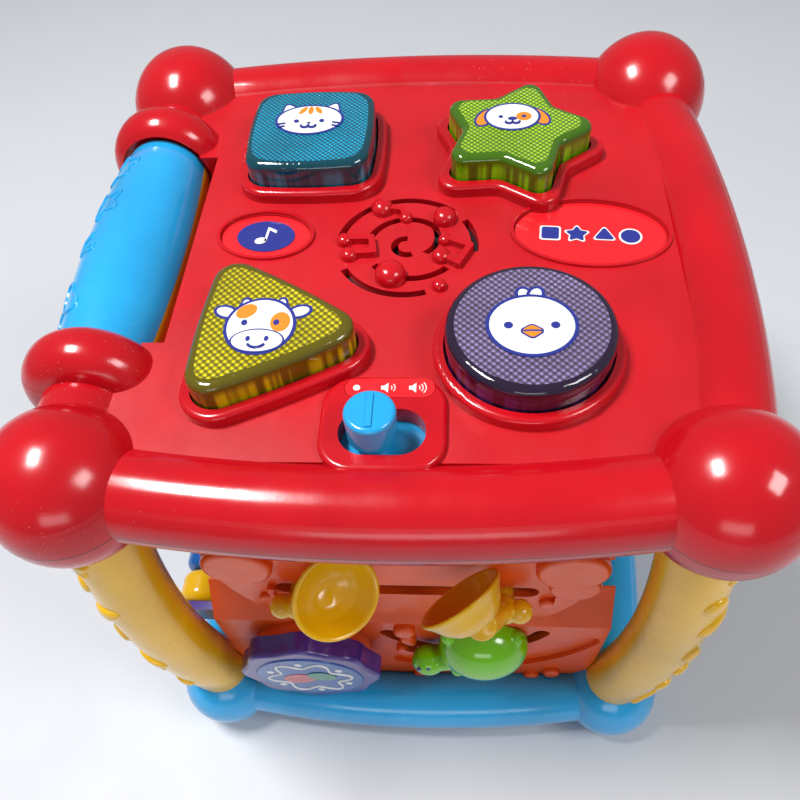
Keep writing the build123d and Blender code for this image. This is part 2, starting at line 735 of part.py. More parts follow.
def turtle_peg():
    """Where the peg stands in the inner track, straight out from the pivot through the turtle."""
    x, z = TURTLE_PIVOT
    angle = math.atan2(TURTLE_AT[1] - z, TURTLE_AT[0] - x)
    return (x + TRACK_INNER_R * math.cos(angle), z + TRACK_INNER_R * math.sin(angle))


# ---- Right side: two meshed gears ----

def gear(teeth, at, turn):
    pitch = GEAR_MODULE * teeth / 2
    tip = pitch + 0.85 * GEAR_MODULE
    root = pitch - 1.15 * GEAR_MODULE
    step = 360 / teeth
    points = []
    for k in range(teeth):
        middle = turn + step * k
        for radius, share in ((root, -0.36), (tip, -0.13), (tip, 0.13), (root, 0.36)):
            angle = math.radians(middle + step * share)
            points.append((radius * math.cos(angle), radius * math.sin(angle)))
    face = Polygon(*points, align=None)
    back = -CORE_HALF - GEAR_GAP
    front = back - GEAR_T
    body = forward(Pos(*at) * face, GEAR_T, back)
    dish = rod_y(root - 4.0, front - 1, front + 1.6, *at)
    hub = rod_y(6.0, front - 1, front + 1.7, *at)
    bore = rod_y(GEAR_PIN_R + RUNNING_GAP, -80, -50, *at)
    return body - (dish - hub) - bore


def gear_pins():
    pins = []
    for at in GEAR_AT:
        shaft = rod_y(GEAR_PIN_R, -CORE_HALF - GEAR_T - 1.4, -CORE_HALF + WALL, *at)
        cap = rod_y(5.0, -CORE_HALF - GEAR_T - 3.4, -CORE_HALF - GEAR_T - 1.2, *at)
        front = cap.edges().filter_by(GeomType.CIRCLE).sort_by(Axis.Y)[0]
        pins.append(shaft + fillet(front, 1.0))
    return Compound(children=pins)


def side_frame(width, height, z, thick=1.6):
    """A raised rounded border on a side panel."""
    outer = forward(Pos(0, z) * RectangleRounded(width, height, 12), thick, -CORE_HALF + 0.01)
    inner = forward(Pos(0, z) * RectangleRounded(width - 6, height - 6, 9), thick + 1, -CORE_HALF + 0.01)
    return outer - inner


def right_panel():
    panel = wall_panel() + side_frame(98, 118, 75)
    for at in GEAR_AT:
        panel = panel - rod_y(GEAR_PIN_R, -80, -40, *at)
    return panel - screw_pilots()


# ---- Back: drum button over three piano keys ----

def drum_button():
    cap = rod_y(DRUM_R, -CORE_HALF - 7.0, -CORE_HALF + WALL + 0.3, *DRUM_AT)
    front = cap.edges().filter_by(GeomType.CIRCLE).sort_by(Axis.Y)[0]
    cap = fillet(front, 2.4)
    hollow = rod_y(DRUM_R - 2.4, -CORE_HALF - 4.6, -CORE_HALF + WALL + 1, *DRUM_AT)
    flange = rod_y(DRUM_R + 1.8, -CORE_HALF + WALL + 0.3, -CORE_HALF + WALL + 1.9, *DRUM_AT)
    return cap - hollow + (flange - rod_y(DRUM_R - 2.4, -60, -40, *DRUM_AT))


def back_panel():
    panel = wall_panel()
    ring = rod_y(DRUM_R + 5.0, -CORE_HALF - 2.6, -CORE_HALF + 0.5, *DRUM_AT)
    panel = panel + ring - rod_y(DRUM_R + 0.4, -70, -50, *DRUM_AT)
    for x in (-38.0, 38.0):
        bracket = Pos(x, -CORE_HALF - 4.0, KEY_PIVOT_Z) * Box(3.0, 8.6, 9.0)
        panel = panel + bracket
    panel = panel - Rot(0, 90, 0) * Pos(-KEY_PIVOT_Z, KEY_Y + 3.0, 0) * Cylinder(KEY_ROD_R, 90)
    return panel - screw_pilots()


def key_rod():
    return Rot(0, 90, 0) * Pos(-KEY_PIVOT_Z, KEY_Y + 3.0, 0) * Cylinder(KEY_ROD_R, 80)


def piano_key(x):
    width, height = KEY_SIZE
    slab = Pos(x, KEY_Y + 0.5, KEY_PIVOT_Z - height / 2 + 3.6) * Box(width, 5.0, height)
    front = slab.faces().sort_by(Axis.Y)[0]
    slab = fillet(front.edges(), 1.5)
    barrel = Rot(0, 90, 0) * Pos(-KEY_PIVOT_Z, KEY_Y + 3.0, x) * Cylinder(3.4, width)
    bore = Rot(0, 90, 0) * Pos(-KEY_PIVOT_Z, KEY_Y + 3.0, x) * Cylinder(KEY_ROD_R + RUNNING_GAP, width + 2)
    return slab + barrel - bore


# ---- Left side: beads on a bar under a flip door with a mirror ----

def bar_along_x(radius, x_from, x_to, y, z):
    return Pos((x_from + x_to) / 2, y, z) * Rot(0, 90, 0) * Cylinder(radius, x_to - x_from)


def bead(name):
    low, high = BEADS[name]
    length = high - low
    solid = bar_along_x(BEAD_R, low, high, BEAD_X, BEAD_Z)
    solid = fillet(solid.edges().filter_by(GeomType.CIRCLE), 3.4)
    if length > 40:
        for x in (-28.0, 0.0, 28.0):
            solid = solid - (bar_along_x(BEAD_R + 1, x - 1.2, x + 1.2, BEAD_X, BEAD_Z)
                             - bar_along_x(BEAD_R - 0.8, x - 1.2, x + 1.2, BEAD_X, BEAD_Z))
    return solid - bar_along_x(BEAD_ROD_R + RUNNING_GAP, low - 1, high + 1, BEAD_X, BEAD_Z)


def bead_rod():
    return bar_along_x(BEAD_ROD_R, -BEAD_BAR_HALF - 1, BEAD_BAR_HALF + 1, BEAD_X, BEAD_Z)


def left_panel(clearance):
    panel = wall_panel() + side_frame(60, 64, 92)
    arm_outer = -BEAD_X + 4.5
    arm_length = arm_outer - CORE_HALF - 1.0
    for side in (-1, 1):
        arm = Pos(side * (BEAD_BAR_HALF + 0.9), arm_length / 2 - arm_outer, BEAD_Z) * Box(3.0, arm_length, 9.0)
        foot = Pos(side * (BEAD_BAR_HALF - 4.6), -CORE_HALF - 1.49, BEAD_Z) * Box(14.0, 3.0, 9.0)
        panel = panel + foot + arm
    for x in (-24.0, 24.0):
        panel = panel + Pos(x, DOOR_PIVOT_Y + 0.6, DOOR_PIVOT_Z) * Box(3.0, 6.0, 5.4)
    panel = panel - bead_rod() - door_pin()
    return panel - screw_pilots() - clearance


def flip_door():
    width, height = DOOR_SHAPE
    slab = Pos(0, DOOR_PIVOT_Y + 0.4, DOOR_PIVOT_Z - height / 2 - 2.4) * Box(width, 2.8, height)
    side_edges = slab.edges().filter_by(Axis.Y)
    slab = fillet(side_edges, 5.0)
    knob = rod_y(5.0, DOOR_PIVOT_Y - 5.0, DOOR_PIVOT_Y, 0.0, DOOR_PIVOT_Z - height + 6)
    front = knob.edges().filter_by(GeomType.CIRCLE).sort_by(Axis.Y)[0]
    knob = fillet(front, 1.6)
    barrel = bar_along_x(2.6, -width / 2, width / 2, DOOR_PIVOT_Y, DOOR_PIVOT_Z)
    web = Pos(0, DOOR_PIVOT_Y + 0.4, DOOR_PIVOT_Z - 3.0) * Box(width - 10, 2.8, 5.0)
    bore = bar_along_x(DOOR_PIN_R + RUNNING_GAP, -width, width, DOOR_PIVOT_Y, DOOR_PIVOT_Z)
    return slab + knob + barrel + web - bore


def door_pin():
    return bar_along_x(DOOR_PIN_R, -27, 27, DOOR_PIVOT_Y, DOOR_PIVOT_Z)


def mirror():
    return rod_y(14.0, -CORE_HALF - 0.8, -CORE_HALF, 0.0, DOOR_PIVOT_Z - 24.0)


# ---- Roller ----

def barrel_profile(inset):
    """Half section of the roller, from its axis out, bulging at the middle."""
    middle = ROLLER_MID_R - inset
    end = ROLLER_END_R - inset
    half = ROLLER_HALF - inset
    with_arc = ThreePointArc((end, -half), (middle, 0), (end, half))
    loop = Wire([
        Edge.make_line((0, -half), (end, -half)), *with_arc.edges(),
        Edge.make_line((end, half), (0, half)), Edge.make_line((0, half), (0, -half))])
    return make_face(loop)


def barrel_solid(inset):
    return revolve(barrel_profile(inset), Axis.Y)


def roller_half(upper):
    """One of the two shells the barrel is split into along its tilted seam."""
    shell = barrel_solid(0.0) - barrel_solid(2.0) - rod_y(AXLE_R + RUNNING_GAP, -60, 60)
    side = 1 if upper else -1
    seam = Rot(0, -ROLLER_SEAM, 0) * Pos(0, 0, side * 50) * Box(100, 100, 100)
    return Pos(ROLLER_X, 0, ROLLER_Z) * (shell & seam)


def roller_axle():
    return rod_y(AXLE_R, -CUP_Y[0] - 6.0, CUP_Y[0] + 6.0, ROLLER_X, ROLLER_Z)


def roller_beads():
    beads = []
    for k in range(5):
        angle = math.radians(-150 + 30 * k)
        reach = ROLLER_END_R - 4.6
        x = ROLLER_X + reach * math.cos(angle)
        z = ROLLER_Z + reach * math.sin(angle)
        beads.append(Pos(x, -22 + 11 * k, z) * Sphere(2.2))
    return Compound(children=beads)


# ---- Buttons, switch, label plates ----

def lens(name):
    at, outline = BUTTONS[name]
    bottom = FLANGE_TOP_Z - FLANGE_T
    cap = extrude(outline(), LENS_TOP_Z - bottom)
    top = cap.faces().sort_by(Axis.Z)[-1]
    cap = fillet(top.edges(), 1.8)
    cap = cap + extrude(outline(LENS_GAP + LENS_FLANGE), FLANGE_T)
    cap = cap - extrude(outline(-2.2), LENS_TOP_Z - bottom - 2.6)
    plunger_bottom = BOARD_Z + BOARD_T + PAD_HEIGHT + LENS_TRAVEL + 0.2
    plunger = Pos(8.0, 0, 0) * extrude(Circle(2.0), LENS_TOP_Z - 2.0 - plunger_bottom)
    return Pos(*at, bottom) * cap + Pos(*at, plunger_bottom) * plunger


def volume_knob():
    knob = Pos(KNOB_X, SWITCH_AT[1], DECK_Z + 1.6) * extrude(Circle(KNOB_R), KNOB_TOP_Z - DECK_Z - 1.6)
    top = knob.faces().sort_by(Axis.Z)[-1]
    knob = fillet(top.edges(), 1.0)
    ridge = Pos(KNOB_X, SWITCH_AT[1], KNOB_TOP_Z - 0.2) * Box(1.2, 2 * KNOB_R - 2.4, 1.2)
    stem = Pos(KNOB_X, SWITCH_AT[1], FLANGE_TOP_Z - 1.0) * extrude(Circle(3.2), DECK_Z + 2.0 - FLANGE_TOP_Z + 1.0)
    plate = Pos(-3.0, SWITCH_AT[1] + 0.0, FLANGE_TOP_Z - 0.9) * Box(28.0, 13.6, 1.6)
    tail = Pos(KNOB_X, SWITCH_AT[1] + 2.0, FLANGE_TOP_Z - 2.9) * Box(2.4, 3.0, 3.0)
    return knob + ridge + stem + plate + tail


def switch_bay():
    return Pos(-1.0, SWITCH_AT[1] - 0.4, DECK_Z - WALL - 2.2) * Box(36.0, 15.6, 4.4)


def badge_plate(size, at):
    """A printed oval lying in its recess, trimmed where the star's collar stands on it."""
    plate = ellipse_at((size[0] - 0.1, size[1] - 0.1), at, 0.5, DECK_Z - BADGE_DEPTH)
    return plate - upright(star_outline(LENS_GAP + COLLAR_WIDTH), 10, DECK_Z - 4, STAR_AT)


# ---- Electronics under the deck ----

def main_board():
    board = upright(RectangleRounded(88.0, 92.0, 4.0), BOARD_T, BOARD_Z, (3.0, -3.0))
    return board - upright(Circle(19.5), 10, BOARD_Z - 4, GRILLE_AT)


def led_group():
    leds = []
    for at, _ in BUTTONS.values():
        body = Pos(*at, BOARD_Z + BOARD_T) * extrude(Circle(2.5), 3.4)
        leds.append(body + Pos(*at, BOARD_Z + BOARD_T + 3.4) * Sphere(2.5))
    return Compound(children=leds)


def switch_pads():
    pads = []
    for at, _ in BUTTONS.values():
        pads.append(Pos(at[0] + 8.0, at[1], BOARD_Z + BOARD_T) * extrude(Circle(3.2), PAD_HEIGHT))
    return Compound(children=pads)


def speaker():
    x, y = GRILLE_AT
    top = DECK_Z - WALL - 0.1
    frame = Pos(x, y, top - 3.0) * extrude(Circle(17.6), 3.0)
    cone = Pos(x, y, top - 2.4) * extrude(Circle(14.6), 3.0)
    dome = Pos(x, y, top - 2.4) * Sphere(4.2)
    magnet = Pos(x, y, top - 9.0) * extrude(Circle(9.0), 6.2)
    return frame - cone + (dome & Pos(x, y, top - 1.7) * Box(20, 20, 1.6)) + magnet


def slide_switch():
    return Pos(KNOB_X + 1.9, SWITCH_AT[1] + 11.2, BOARD_Z + BOARD_T + 1.7) * Box(14.0, 5.0, 3.4)


def tray_bosses():
    bosses = []
    for x in (-36.0, 42.0):
        for y in (-44.0, 38.0):
            bosses.append(Pos(x, y, TRAY_Z + 1) * extrude(Circle(3.0), BOARD_Z - TRAY_Z - 1))
    return bosses


# ---- Write every piece ----

def main():
    shell = top_form(0.0) - top_form(WALL)
    posts = joined([post(*sides) for sides in POSTS.values()])
    axle_hole = rod_y(AXLE_R, -CUP_Y[0] - 6.0, CUP_Y[0] + 6.0, ROLLER_X, ROLLER_Z)

    save(top_cover(shell) - switch_bay() - posts - axle_hole, "top_cover")
    save(joined([shell & below(PARTING_Z)] + tray_bosses()) - posts - axle_hole, "top_tray")
    for name, sides in POSTS.items():
        save(post(*sides), name)
    upper, lower = base_parts(posts)
    save(upper, "base_frame")
    save(lower, "base_pan")
    save(housing_screws(), "housing_screws")
    save(battery_box(), "battery_box")
    save(battery_door(), "battery_door")
    save(battery_door_screw(), "battery_door_screw")
    save(cells(), "batteries")
    save(battery_contacts(), "battery_contacts")

    front_clearance = base_form(-0.2) + post(-1, -1, POST_R + 0.4) + post(1, -1, POST_R + 0.4)
    save(front_panel(front_clearance), "front_panel")
    save(turned(right_panel(), 90), "right_panel")
    save(turned(back_panel(), 180), "back_panel")
    cup_clearance = turned(cup(1, -0.2) + cup(-1, -0.2), 90)
    save(turned(left_panel(cup_clearance), -90), "left_panel")

    save(badge_plate(LEFT_BADGE_SIZE, LEFT_BADGE_AT), "badge_left")
    save(badge_plate(RIGHT_BADGE_SIZE, RIGHT_BADGE_AT), "badge_right")
    save(label_pill(0, 0.5, DECK_Z + 1.3), "volume_label")
    save(main_board(), "main_board")
    save(led_group(), "leds")
    save(switch_pads(), "switch_pads")
    save(speaker(), "speaker")
    save(slide_switch(), "slide_switch")
    for name in BUTTONS:
        save(lens(name), "lens_" + name)
    save(volume_knob(), "volume_knob")

    save(roller_half(True), "roller_shell_blue")
    save(roller_half(False), "roller_shell_yellow")
    save(roller_axle(), "roller_axle")
    save(roller_beads(), "roller_beads")

    for name, (_, _, boss_x) in CYMBALS.items():
        save(cymbal(name), name)
        save(clip(boss_x, CYMBAL_Z, CYMBAL_STEM_R, *CLIP_Y), name + "_clip")
    save(dial_ring(), "dial_ring")
    save(dial_window(), "dial_window")
    save(dial_axle(), "dial_axle")
    save(turtle(), "turtle")
    save(clip(*turtle_peg(), TURTLE_PEG_R, *TURTLE_CLIP_Y), "turtle_clip")

    lead = GEAR_ANGLE
    follow = GEAR_ANGLE + 180 + 180 / GEAR_TEETH[1]
    save(turned(gear(GEAR_TEETH[0], GEAR_AT[0], lead), 90), "gear_large")
    save(turned(gear(GEAR_TEETH[1], GEAR_AT[1], follow), 90), "gear_small")
    save(turned(gear_pins(), 90), "gear_pins")

    save(turned(drum_button(), 180), "drum_button")
    save(turned(key_rod(), 180), "key_rod")
    for number, x in enumerate(KEY_XS, 1):
        save(turned(piano_key(x), 180), "piano_key_" + str(number))

    save(turned(bead_rod(), -90), "bead_rod")
    for name in BEADS:
        save(turned(bead(name), -90), name)
    save(turned(flip_door(), -90), "flip_door")
    save(turned(door_pin(), -90), "door_pin")
    save(turned(mirror(), -90), "door_mirror")


main()
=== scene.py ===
import json
import math

import bmesh
import bpy
from mathutils import Matrix, Vector


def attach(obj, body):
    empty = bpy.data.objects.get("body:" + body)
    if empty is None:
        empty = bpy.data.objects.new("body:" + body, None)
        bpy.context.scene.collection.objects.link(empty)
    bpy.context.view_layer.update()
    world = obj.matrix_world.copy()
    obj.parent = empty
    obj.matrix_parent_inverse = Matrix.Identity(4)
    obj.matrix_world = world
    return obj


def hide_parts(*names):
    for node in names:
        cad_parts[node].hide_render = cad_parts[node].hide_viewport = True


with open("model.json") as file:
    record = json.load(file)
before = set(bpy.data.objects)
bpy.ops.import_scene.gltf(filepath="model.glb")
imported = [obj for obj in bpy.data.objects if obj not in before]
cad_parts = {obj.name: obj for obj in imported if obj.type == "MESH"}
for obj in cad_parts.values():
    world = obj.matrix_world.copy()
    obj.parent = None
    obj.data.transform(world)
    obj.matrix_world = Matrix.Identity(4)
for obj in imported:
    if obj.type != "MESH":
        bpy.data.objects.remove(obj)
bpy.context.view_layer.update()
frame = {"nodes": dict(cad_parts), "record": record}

# Lengths in this script are millimetres, in the row frame, and MM turns them into Blender's metres.
MM = 0.001

# ---- Driving values, as in the CAD model ----

LENS_AT = {
    "square": (-25.0, 33.0),
    "star": (28.2, 31.4),
    "triangle": (-28.6, -36.6),
    "circle": (29.2, -37.6),
}
LENS_TOP_Z = 168.5
WALL_FACE_Y = -58.0
DRUM_AT = (0.0, 102.0)
DRUM_FACE_Y = -65.1
DOOR_AT = (0.0, 90.0)
DOOR_FACE_Y = -62.4
DECK_Z = 159.0
PARTING_Z = 152.0
BASE_SEAM_Z = 15.5
LEFT_BADGE_AT = (-34.4, 1.6)
RIGHT_BADGE_AT = (46.0, 1.2)
BADGE_TILT = -5.0
BADGE_TOP_Z = DECK_Z - 0.3
LABEL_AT = (-0.2, -48.4)
LABEL_TOP_Z = DECK_Z + 1.8
ROLLER_X = -68.8
ROLLER_Z = 152.2
ROLLER_MID_R = 13.5
ROLLER_END_R = 11.2
ROLLER_HALF = 36.0
POST_R = 9.3
POST_END = 66.5
POST_MID = 71.5
POST_LOW_Z = 18.0
POST_HIGH_Z = 145.0
DIAL_AT = (-32.0, 49.4)
DIAL_WINDOW_Y = -77.4
TURTLE_AT = (21.8, 58.0)
TURTLE_PIVOT = (16.0, 74.0)
TRACK_INNER_R = 26.5
BLOCK_Y = -66.0
CYMBAL_R = 12.0
CYMBAL_Z = 90.0
CYMBAL_BOSS_Y = -69.0
CYMBAL_BOSS_R = 4.2
CYMBAL_KNOB_R = 3.5
CYMBALS = {
    "cymbal_left": ((-15.9, -74.4, 109.3), (0.52, -0.60, 0.61), -29.7),
    "cymbal_right": ((15.2, -74.6, 110.4), (-0.586, 0.608, 0.523), 27.2),
}


def peg_place():
    """Where the turtle's peg stands in the inner track, straight out from the pivot."""
    out = (Vector(TURTLE_AT) - Vector(TURTLE_PIVOT)).normalized() * TRACK_INNER_R
    return (TURTLE_PIVOT[0] + out.x, TURTLE_PIVOT[1] + out.y)


TURTLE_PEG = peg_place()

# ---- Colours, as sRGB 0 to 255 ----

RED = (186, 10, 24)
LIGHT_BLUE = (34, 158, 218)
DARK_BLUE = (14, 82, 160)
YELLOW = (230, 178, 2)
ORANGE = (232, 84, 12)
PURPLE = (66, 40, 130)
GREEN = (112, 196, 0)
LABEL_RED = (228, 24, 34)
INK_BLUE = (38, 48, 140)
INK_ORANGE = (244, 140, 34)
INK_WHITE = (240, 242, 238)


def linear(rgb):
    """sRGB 0 to 255 as the linear colour that a shader socket takes."""
    channels = []
    for value in rgb:
        c = value / 255
        channels.append(c / 12.92 if c <= 0.04045 else ((c + 0.055) / 1.055) ** 2.4)
    return (*channels, 1.0)


def shaded(rgb, factor):
    return tuple(min(255, value * factor) for value in rgb)


# ---- Materials ----

class Nodes:
    """A short way to build one material's node tree."""

    def __init__(self, name):
        self.material = bpy.data.materials.new(name)
        self.material.use_nodes = True
        self.tree = self.material.node_tree
        self.shader = self.tree.nodes["Principled BSDF"]
        self.place = self.add("ShaderNodeTexCoord").outputs["Object"]

    def add(self, kind, inputs=None, **settings):
        node = self.tree.nodes.new(kind)
        for key, value in settings.items():
            setattr(node, key, value)
        for key, value in (inputs or {}).items():
            if hasattr(value, "is_linked"):
                self.tree.links.new(value, node.inputs[key])
            else:
                node.inputs[key].default_value = value
        return node

    def noise(self, scale, detail=3.0, vector=None):
        inputs = {"Vector": vector or self.place, "Scale": scale, "Detail": detail}
        return self.add("ShaderNodeTexNoise", inputs).outputs["Fac"]

    def ranged(self, value, low, high, to_low, to_high):
        inputs = {"Value": value, "From Min": low, "From Max": high, "To Min": to_low, "To Max": to_high}
        return self.add("ShaderNodeMapRange", inputs).outputs["Result"]

    def mix(self, factor, first, second):
        node = self.add("ShaderNodeMix", data_type="RGBA")
        for slot, value in ((0, factor), (6, first), (7, second)):
            if hasattr(value, "is_linked"):
                self.tree.links.new(value, node.inputs[slot])
            else:
                node.inputs[slot].default_value = value
        return node.outputs[2]

    def maths(self, operation, first, second=0.0):
        return self.add("ShaderNodeMath", {0: first, 1: second}, operation=operation).outputs[0]

    def stretched(self, scale, turn=0.0):
        inputs = {"Vector": self.place, "Scale": scale, "Rotation": (0.0, 0.0, math.radians(turn))}
        return self.add("ShaderNodeMapping", inputs).outputs["Vector"]

    def bump(self, height, strength, distance, normal=None):
        inputs = {"Height": height, "Strength": strength, "Distance": distance}
        if normal:
            inputs["Normal"] = normal
        return self.add("ShaderNodeBump", inputs).outputs["Normal"]

    def connect(self, value, socket):
        self.tree.links.new(value, self.shader.inputs[socket])

    def set(self, **values):
        for key, value in values.items():
            self.shader.inputs[key.replace("_", " ")].default_value = value


def height_band(m, low, high, soft):
    """1 between two heights of the row frame and 0 outside them."""
    z = m.add("ShaderNodeSeparateXYZ", {"Vector": m.place}).outputs["Z"]
    above = m.ranged(z, low * MM, (low + soft) * MM, 0.0, 1.0)
    under = m.ranged(z, (high - soft) * MM, high * MM, 1.0, 0.0)
    return m.maths("MULTIPLY", above, under)


def moulded(name, rgb, roughness=0.22, peel=0.05, dust=0.5, coat=0.3, satin=0.0, seam_z=None):
    """Injection-moulded toy plastic: slight colour drift, orange peel, handling marks and a little dust.

    satin makes the flat deck duller than the rest.
    seam_z is the height of a dark line where two shells meet.
    """
    m = Nodes(name)
    drift = m.noise(38.0)
    tint = m.mix(m.ranged(drift, 0.3, 0.7, 0.0, 1.0), linear(shaded(rgb, 0.94)), linear(shaded(rgb, 1.04)))
    speck = m.add("ShaderNodeTexVoronoi", {"Vector": m.place, "Scale": 700.0})
    dots = m.ranged(speck.outputs["Distance"], 0.04, 0.12, 1.0, 0.0)
    patches = m.ranged(m.noise(24.0, 2.0), 0.55, 0.75, 0.0, dust)
    dusty = m.mix(m.maths("MULTIPLY", dots, patches), tint, linear((226, 214, 208)))
    if seam_z:
        dusty = m.mix(height_band(m, seam_z - 0.2, seam_z + 0.2, 0.1), dusty, linear(shaded(rgb, 0.4)))
    m.connect(dusty, "Base Color")
    smears = m.noise(90.0, 5.0, m.stretched((1.0, 0.35, 1.0), 25.0))
    gloss = m.ranged(smears, 0.3, 0.7, roughness * 0.75, roughness * 1.4)
    deck = m.maths("MULTIPLY", height_band(m, DECK_Z - 0.4, DECK_Z + 0.6, 0.2), satin)
    m.connect(m.maths("ADD", gloss, deck), "Roughness")
    surface = m.bump(m.noise(260.0, 2.0), peel, 0.0004)
    m.connect(m.bump(m.noise(2600.0, 1.0), peel, 0.00008, surface), "Normal")
    m.set(IOR=1.53, Coat_Weight=coat, Coat_Roughness=0.06)
    return m.material


def tinted_wall(name, rgb):
    """The side of a translucent button: upright ribs, with painted shade in the depth and a painted glow at
    the ribs.
    """
    m = Nodes(name)
    ribs = m.noise(520.0, 1.0, m.stretched((1.0, 1.0, 0.02)))
    depth = m.noise(110.0, 2.0, m.stretched((1.0, 1.0, 0.1)))
    # Painted light: the ribs get a painted glow, and the depth noise darkens it in patches as painted shade.
    painted_glow = m.maths("MULTIPLY", m.ranged(ribs, 0.42, 0.62, 0.0, 1.0), m.ranged(depth, 0.35, 0.65, 0.35, 1.0))
    # The painted glow stays in a band from 8 mm under the deck to 1.6 mm under the top; outside it the wall
    # keeps the painted shade.
    painted_glow = m.maths("MULTIPLY", painted_glow, height_band(m, DECK_Z - 8, LENS_TOP_Z - 1.6, 2.0))
    # The painted shade is a darker copy of the colour and the painted glow a brighter copy.
    m.connect(m.mix(painted_glow, linear(shaded(rgb, 0.5)), linear(shaded(rgb, 1.2))), "Base Color")
    m.connect(m.ranged(depth, 0.3, 0.7, 0.06, 0.14), "Roughness")
    m.connect(m.bump(ribs, 0.35, 0.0006), "Normal")
    m.set(IOR=1.5, Coat_Weight=0.6, Coat_Roughness=0.03)
    return m.material


def dimple_grid(name, rgb, pitch=1.15, turn=45.0):
    """The lit top of a button: rows of small round prisms seen through a smooth clear skin, each prism given
    a painted highlight in its middle and painted shade at its edge.
    """
    m = Nodes(name)
    cells = m.add("ShaderNodeTexVoronoi", {
        "Vector": m.stretched((1.0, 1.0, 0.0), turn), "Scale": 1.0 / (pitch * MM), "Randomness": 0.0})
    distance = cells.outputs["Distance"]
    dome = m.ranged(distance, 0.05, 0.55, 1.0, 0.0)
    uneven = m.ranged(m.noise(55.0), 0.35, 0.65, 0.72, 1.1)
    # Painted light: each dome is brightest in its middle and darkest at its edge, with some random
    # unevenness.
    painted_dome_light = m.maths("MULTIPLY", dome, uneven)
    # The painted shade is a darker copy of the colour and the painted highlight a brighter copy.
    m.connect(m.mix(painted_dome_light, linear(shaded(rgb, 0.42)), linear(shaded(rgb, 1.25))), "Base Color")
    m.connect(m.ranged(distance, 0.0, 0.6, 0.1, 0.35), "Roughness")
    m.connect(m.bump(dome, 0.8, 0.0007), "Normal")
    m.set(IOR=1.5, Coat_Weight=0.6, Coat_Roughness=0.04)
    return m.material


def printed(name, rgb, roughness=0.3):
    """Ink or vinyl: a fine dot screen, slightly uneven, under a thin gloss."""
    m = Nodes(name)
    screen = m.add("ShaderNodeTexVoronoi", {"Vector": m.place, "Scale": 3800.0, "Randomness": 0.2})
    dots = m.ranged(screen.outputs["Distance"], 0.1, 0.6, 0.0, 1.0)
    m.connect(m.mix(dots, linear(rgb), linear(shaded(rgb, 0.93))), "Base Color")
    m.connect(m.ranged(m.noise(210.0), 0.3, 0.7, roughness * 0.8, roughness * 1.2), "Roughness")
    m.connect(m.bump(m.noise(700.0), 0.03, 0.0001), "Normal")
    m.set(Coat_Weight=0.5, Coat_Roughness=0.08)
    return m.material


def metal(name, rgb, roughness):
    m = Nodes(name)
    brushed = m.noise(900.0, 3.0, m.stretched((1.0, 0.05, 1.0)))
    m.connect(m.mix(brushed, linear(shaded(rgb, 0.8)), linear(rgb)), "Base Color")
    m.connect(m.ranged(brushed, 0.3, 0.7, roughness * 0.7, roughness * 1.3), "Roughness")
    m.connect(m.bump(brushed, 0.1, 0.00005), "Normal")
    m.set(Metallic=1.0)
    return m.material


MATERIALS = {
    "red_plastic": moulded("red_plastic", RED, 0.17, 0.06, 0.4, 0.0, 0.2, PARTING_Z),
    "light_blue_plastic": moulded("light_blue_plastic", LIGHT_BLUE, 0.2, 0.05, 0.35, seam_z=BASE_SEAM_Z),
    "dark_blue_plastic": moulded("dark_blue_plastic", DARK_BLUE, 0.2),
    "yellow_plastic": moulded("yellow_plastic", YELLOW, 0.24, 0.05, 0.3),
    "orange_plastic": moulded("orange_plastic", ORANGE, 0.34, 0.06, 0.3, 0.1),
    "purple_plastic": moulded("purple_plastic", PURPLE, 0.2),
    "green_plastic": moulded("green_plastic", GREEN, 0.16, 0.04, 0.2, 0.5),
    "teal_lens": tinted_wall("teal_lens", (0, 118, 142)),
    "green_lens": tinted_wall("green_lens", (116, 196, 0)),
    "yellow_lens": tinted_wall("yellow_lens", (176, 158, 0)),
    "plum_lens": tinted_wall("plum_lens", (64, 34, 84)),
    "red_label": printed("red_label", LABEL_RED),
    "blue_label": printed("blue_label", INK_BLUE),
    "white_plastic": moulded("white_plastic", (226, 226, 220), 0.35),
    "steel": metal("steel", (190, 190, 190), 0.3),
    "cell_wrap": printed("cell_wrap", (40, 45, 60)),
    "board_green": printed("board_green", (20, 96, 52), 0.45),
    "rubber_grey": moulded("rubber_grey", (70, 70, 75), 0.7, 0.1, 0.2, 0.0),
    "black_plastic": moulded("black_plastic", (26, 26, 28), 0.5, 0.08, 0.2, 0.0),
    "mirror_foil": metal("mirror_foil", (232, 234, 238), 0.04),
}
INK = {
    "white": printed("ink_white", INK_WHITE),
    "blue": printed("ink_blue", INK_BLUE),
    "orange": printed("ink_orange", INK_ORANGE),
    "red": printed("ink_red", (206, 60, 70)),
    "green": printed("ink_green", (40, 140, 110)),
}
GRIDS = {
    "square": dimple_grid("teal_grid", (0, 160, 200), 1.0),
    "star": dimple_grid("green_grid", (162, 246, 10), 1.1),
    "triangle": dimple_grid("yellow_grid", (208, 190, 0), 1.25),
    "circle": dimple_grid("plum_grid", (134, 116, 160), 1.2),
}

for entry in frame["record"]["subparts"]:
    cad_object = frame["nodes"][entry["node"]]
    cad_object.data.materials.clear()
    cad_object.data.materials.append(MATERIALS[entry["material_slot"]])


# ---- Mesh helpers ----

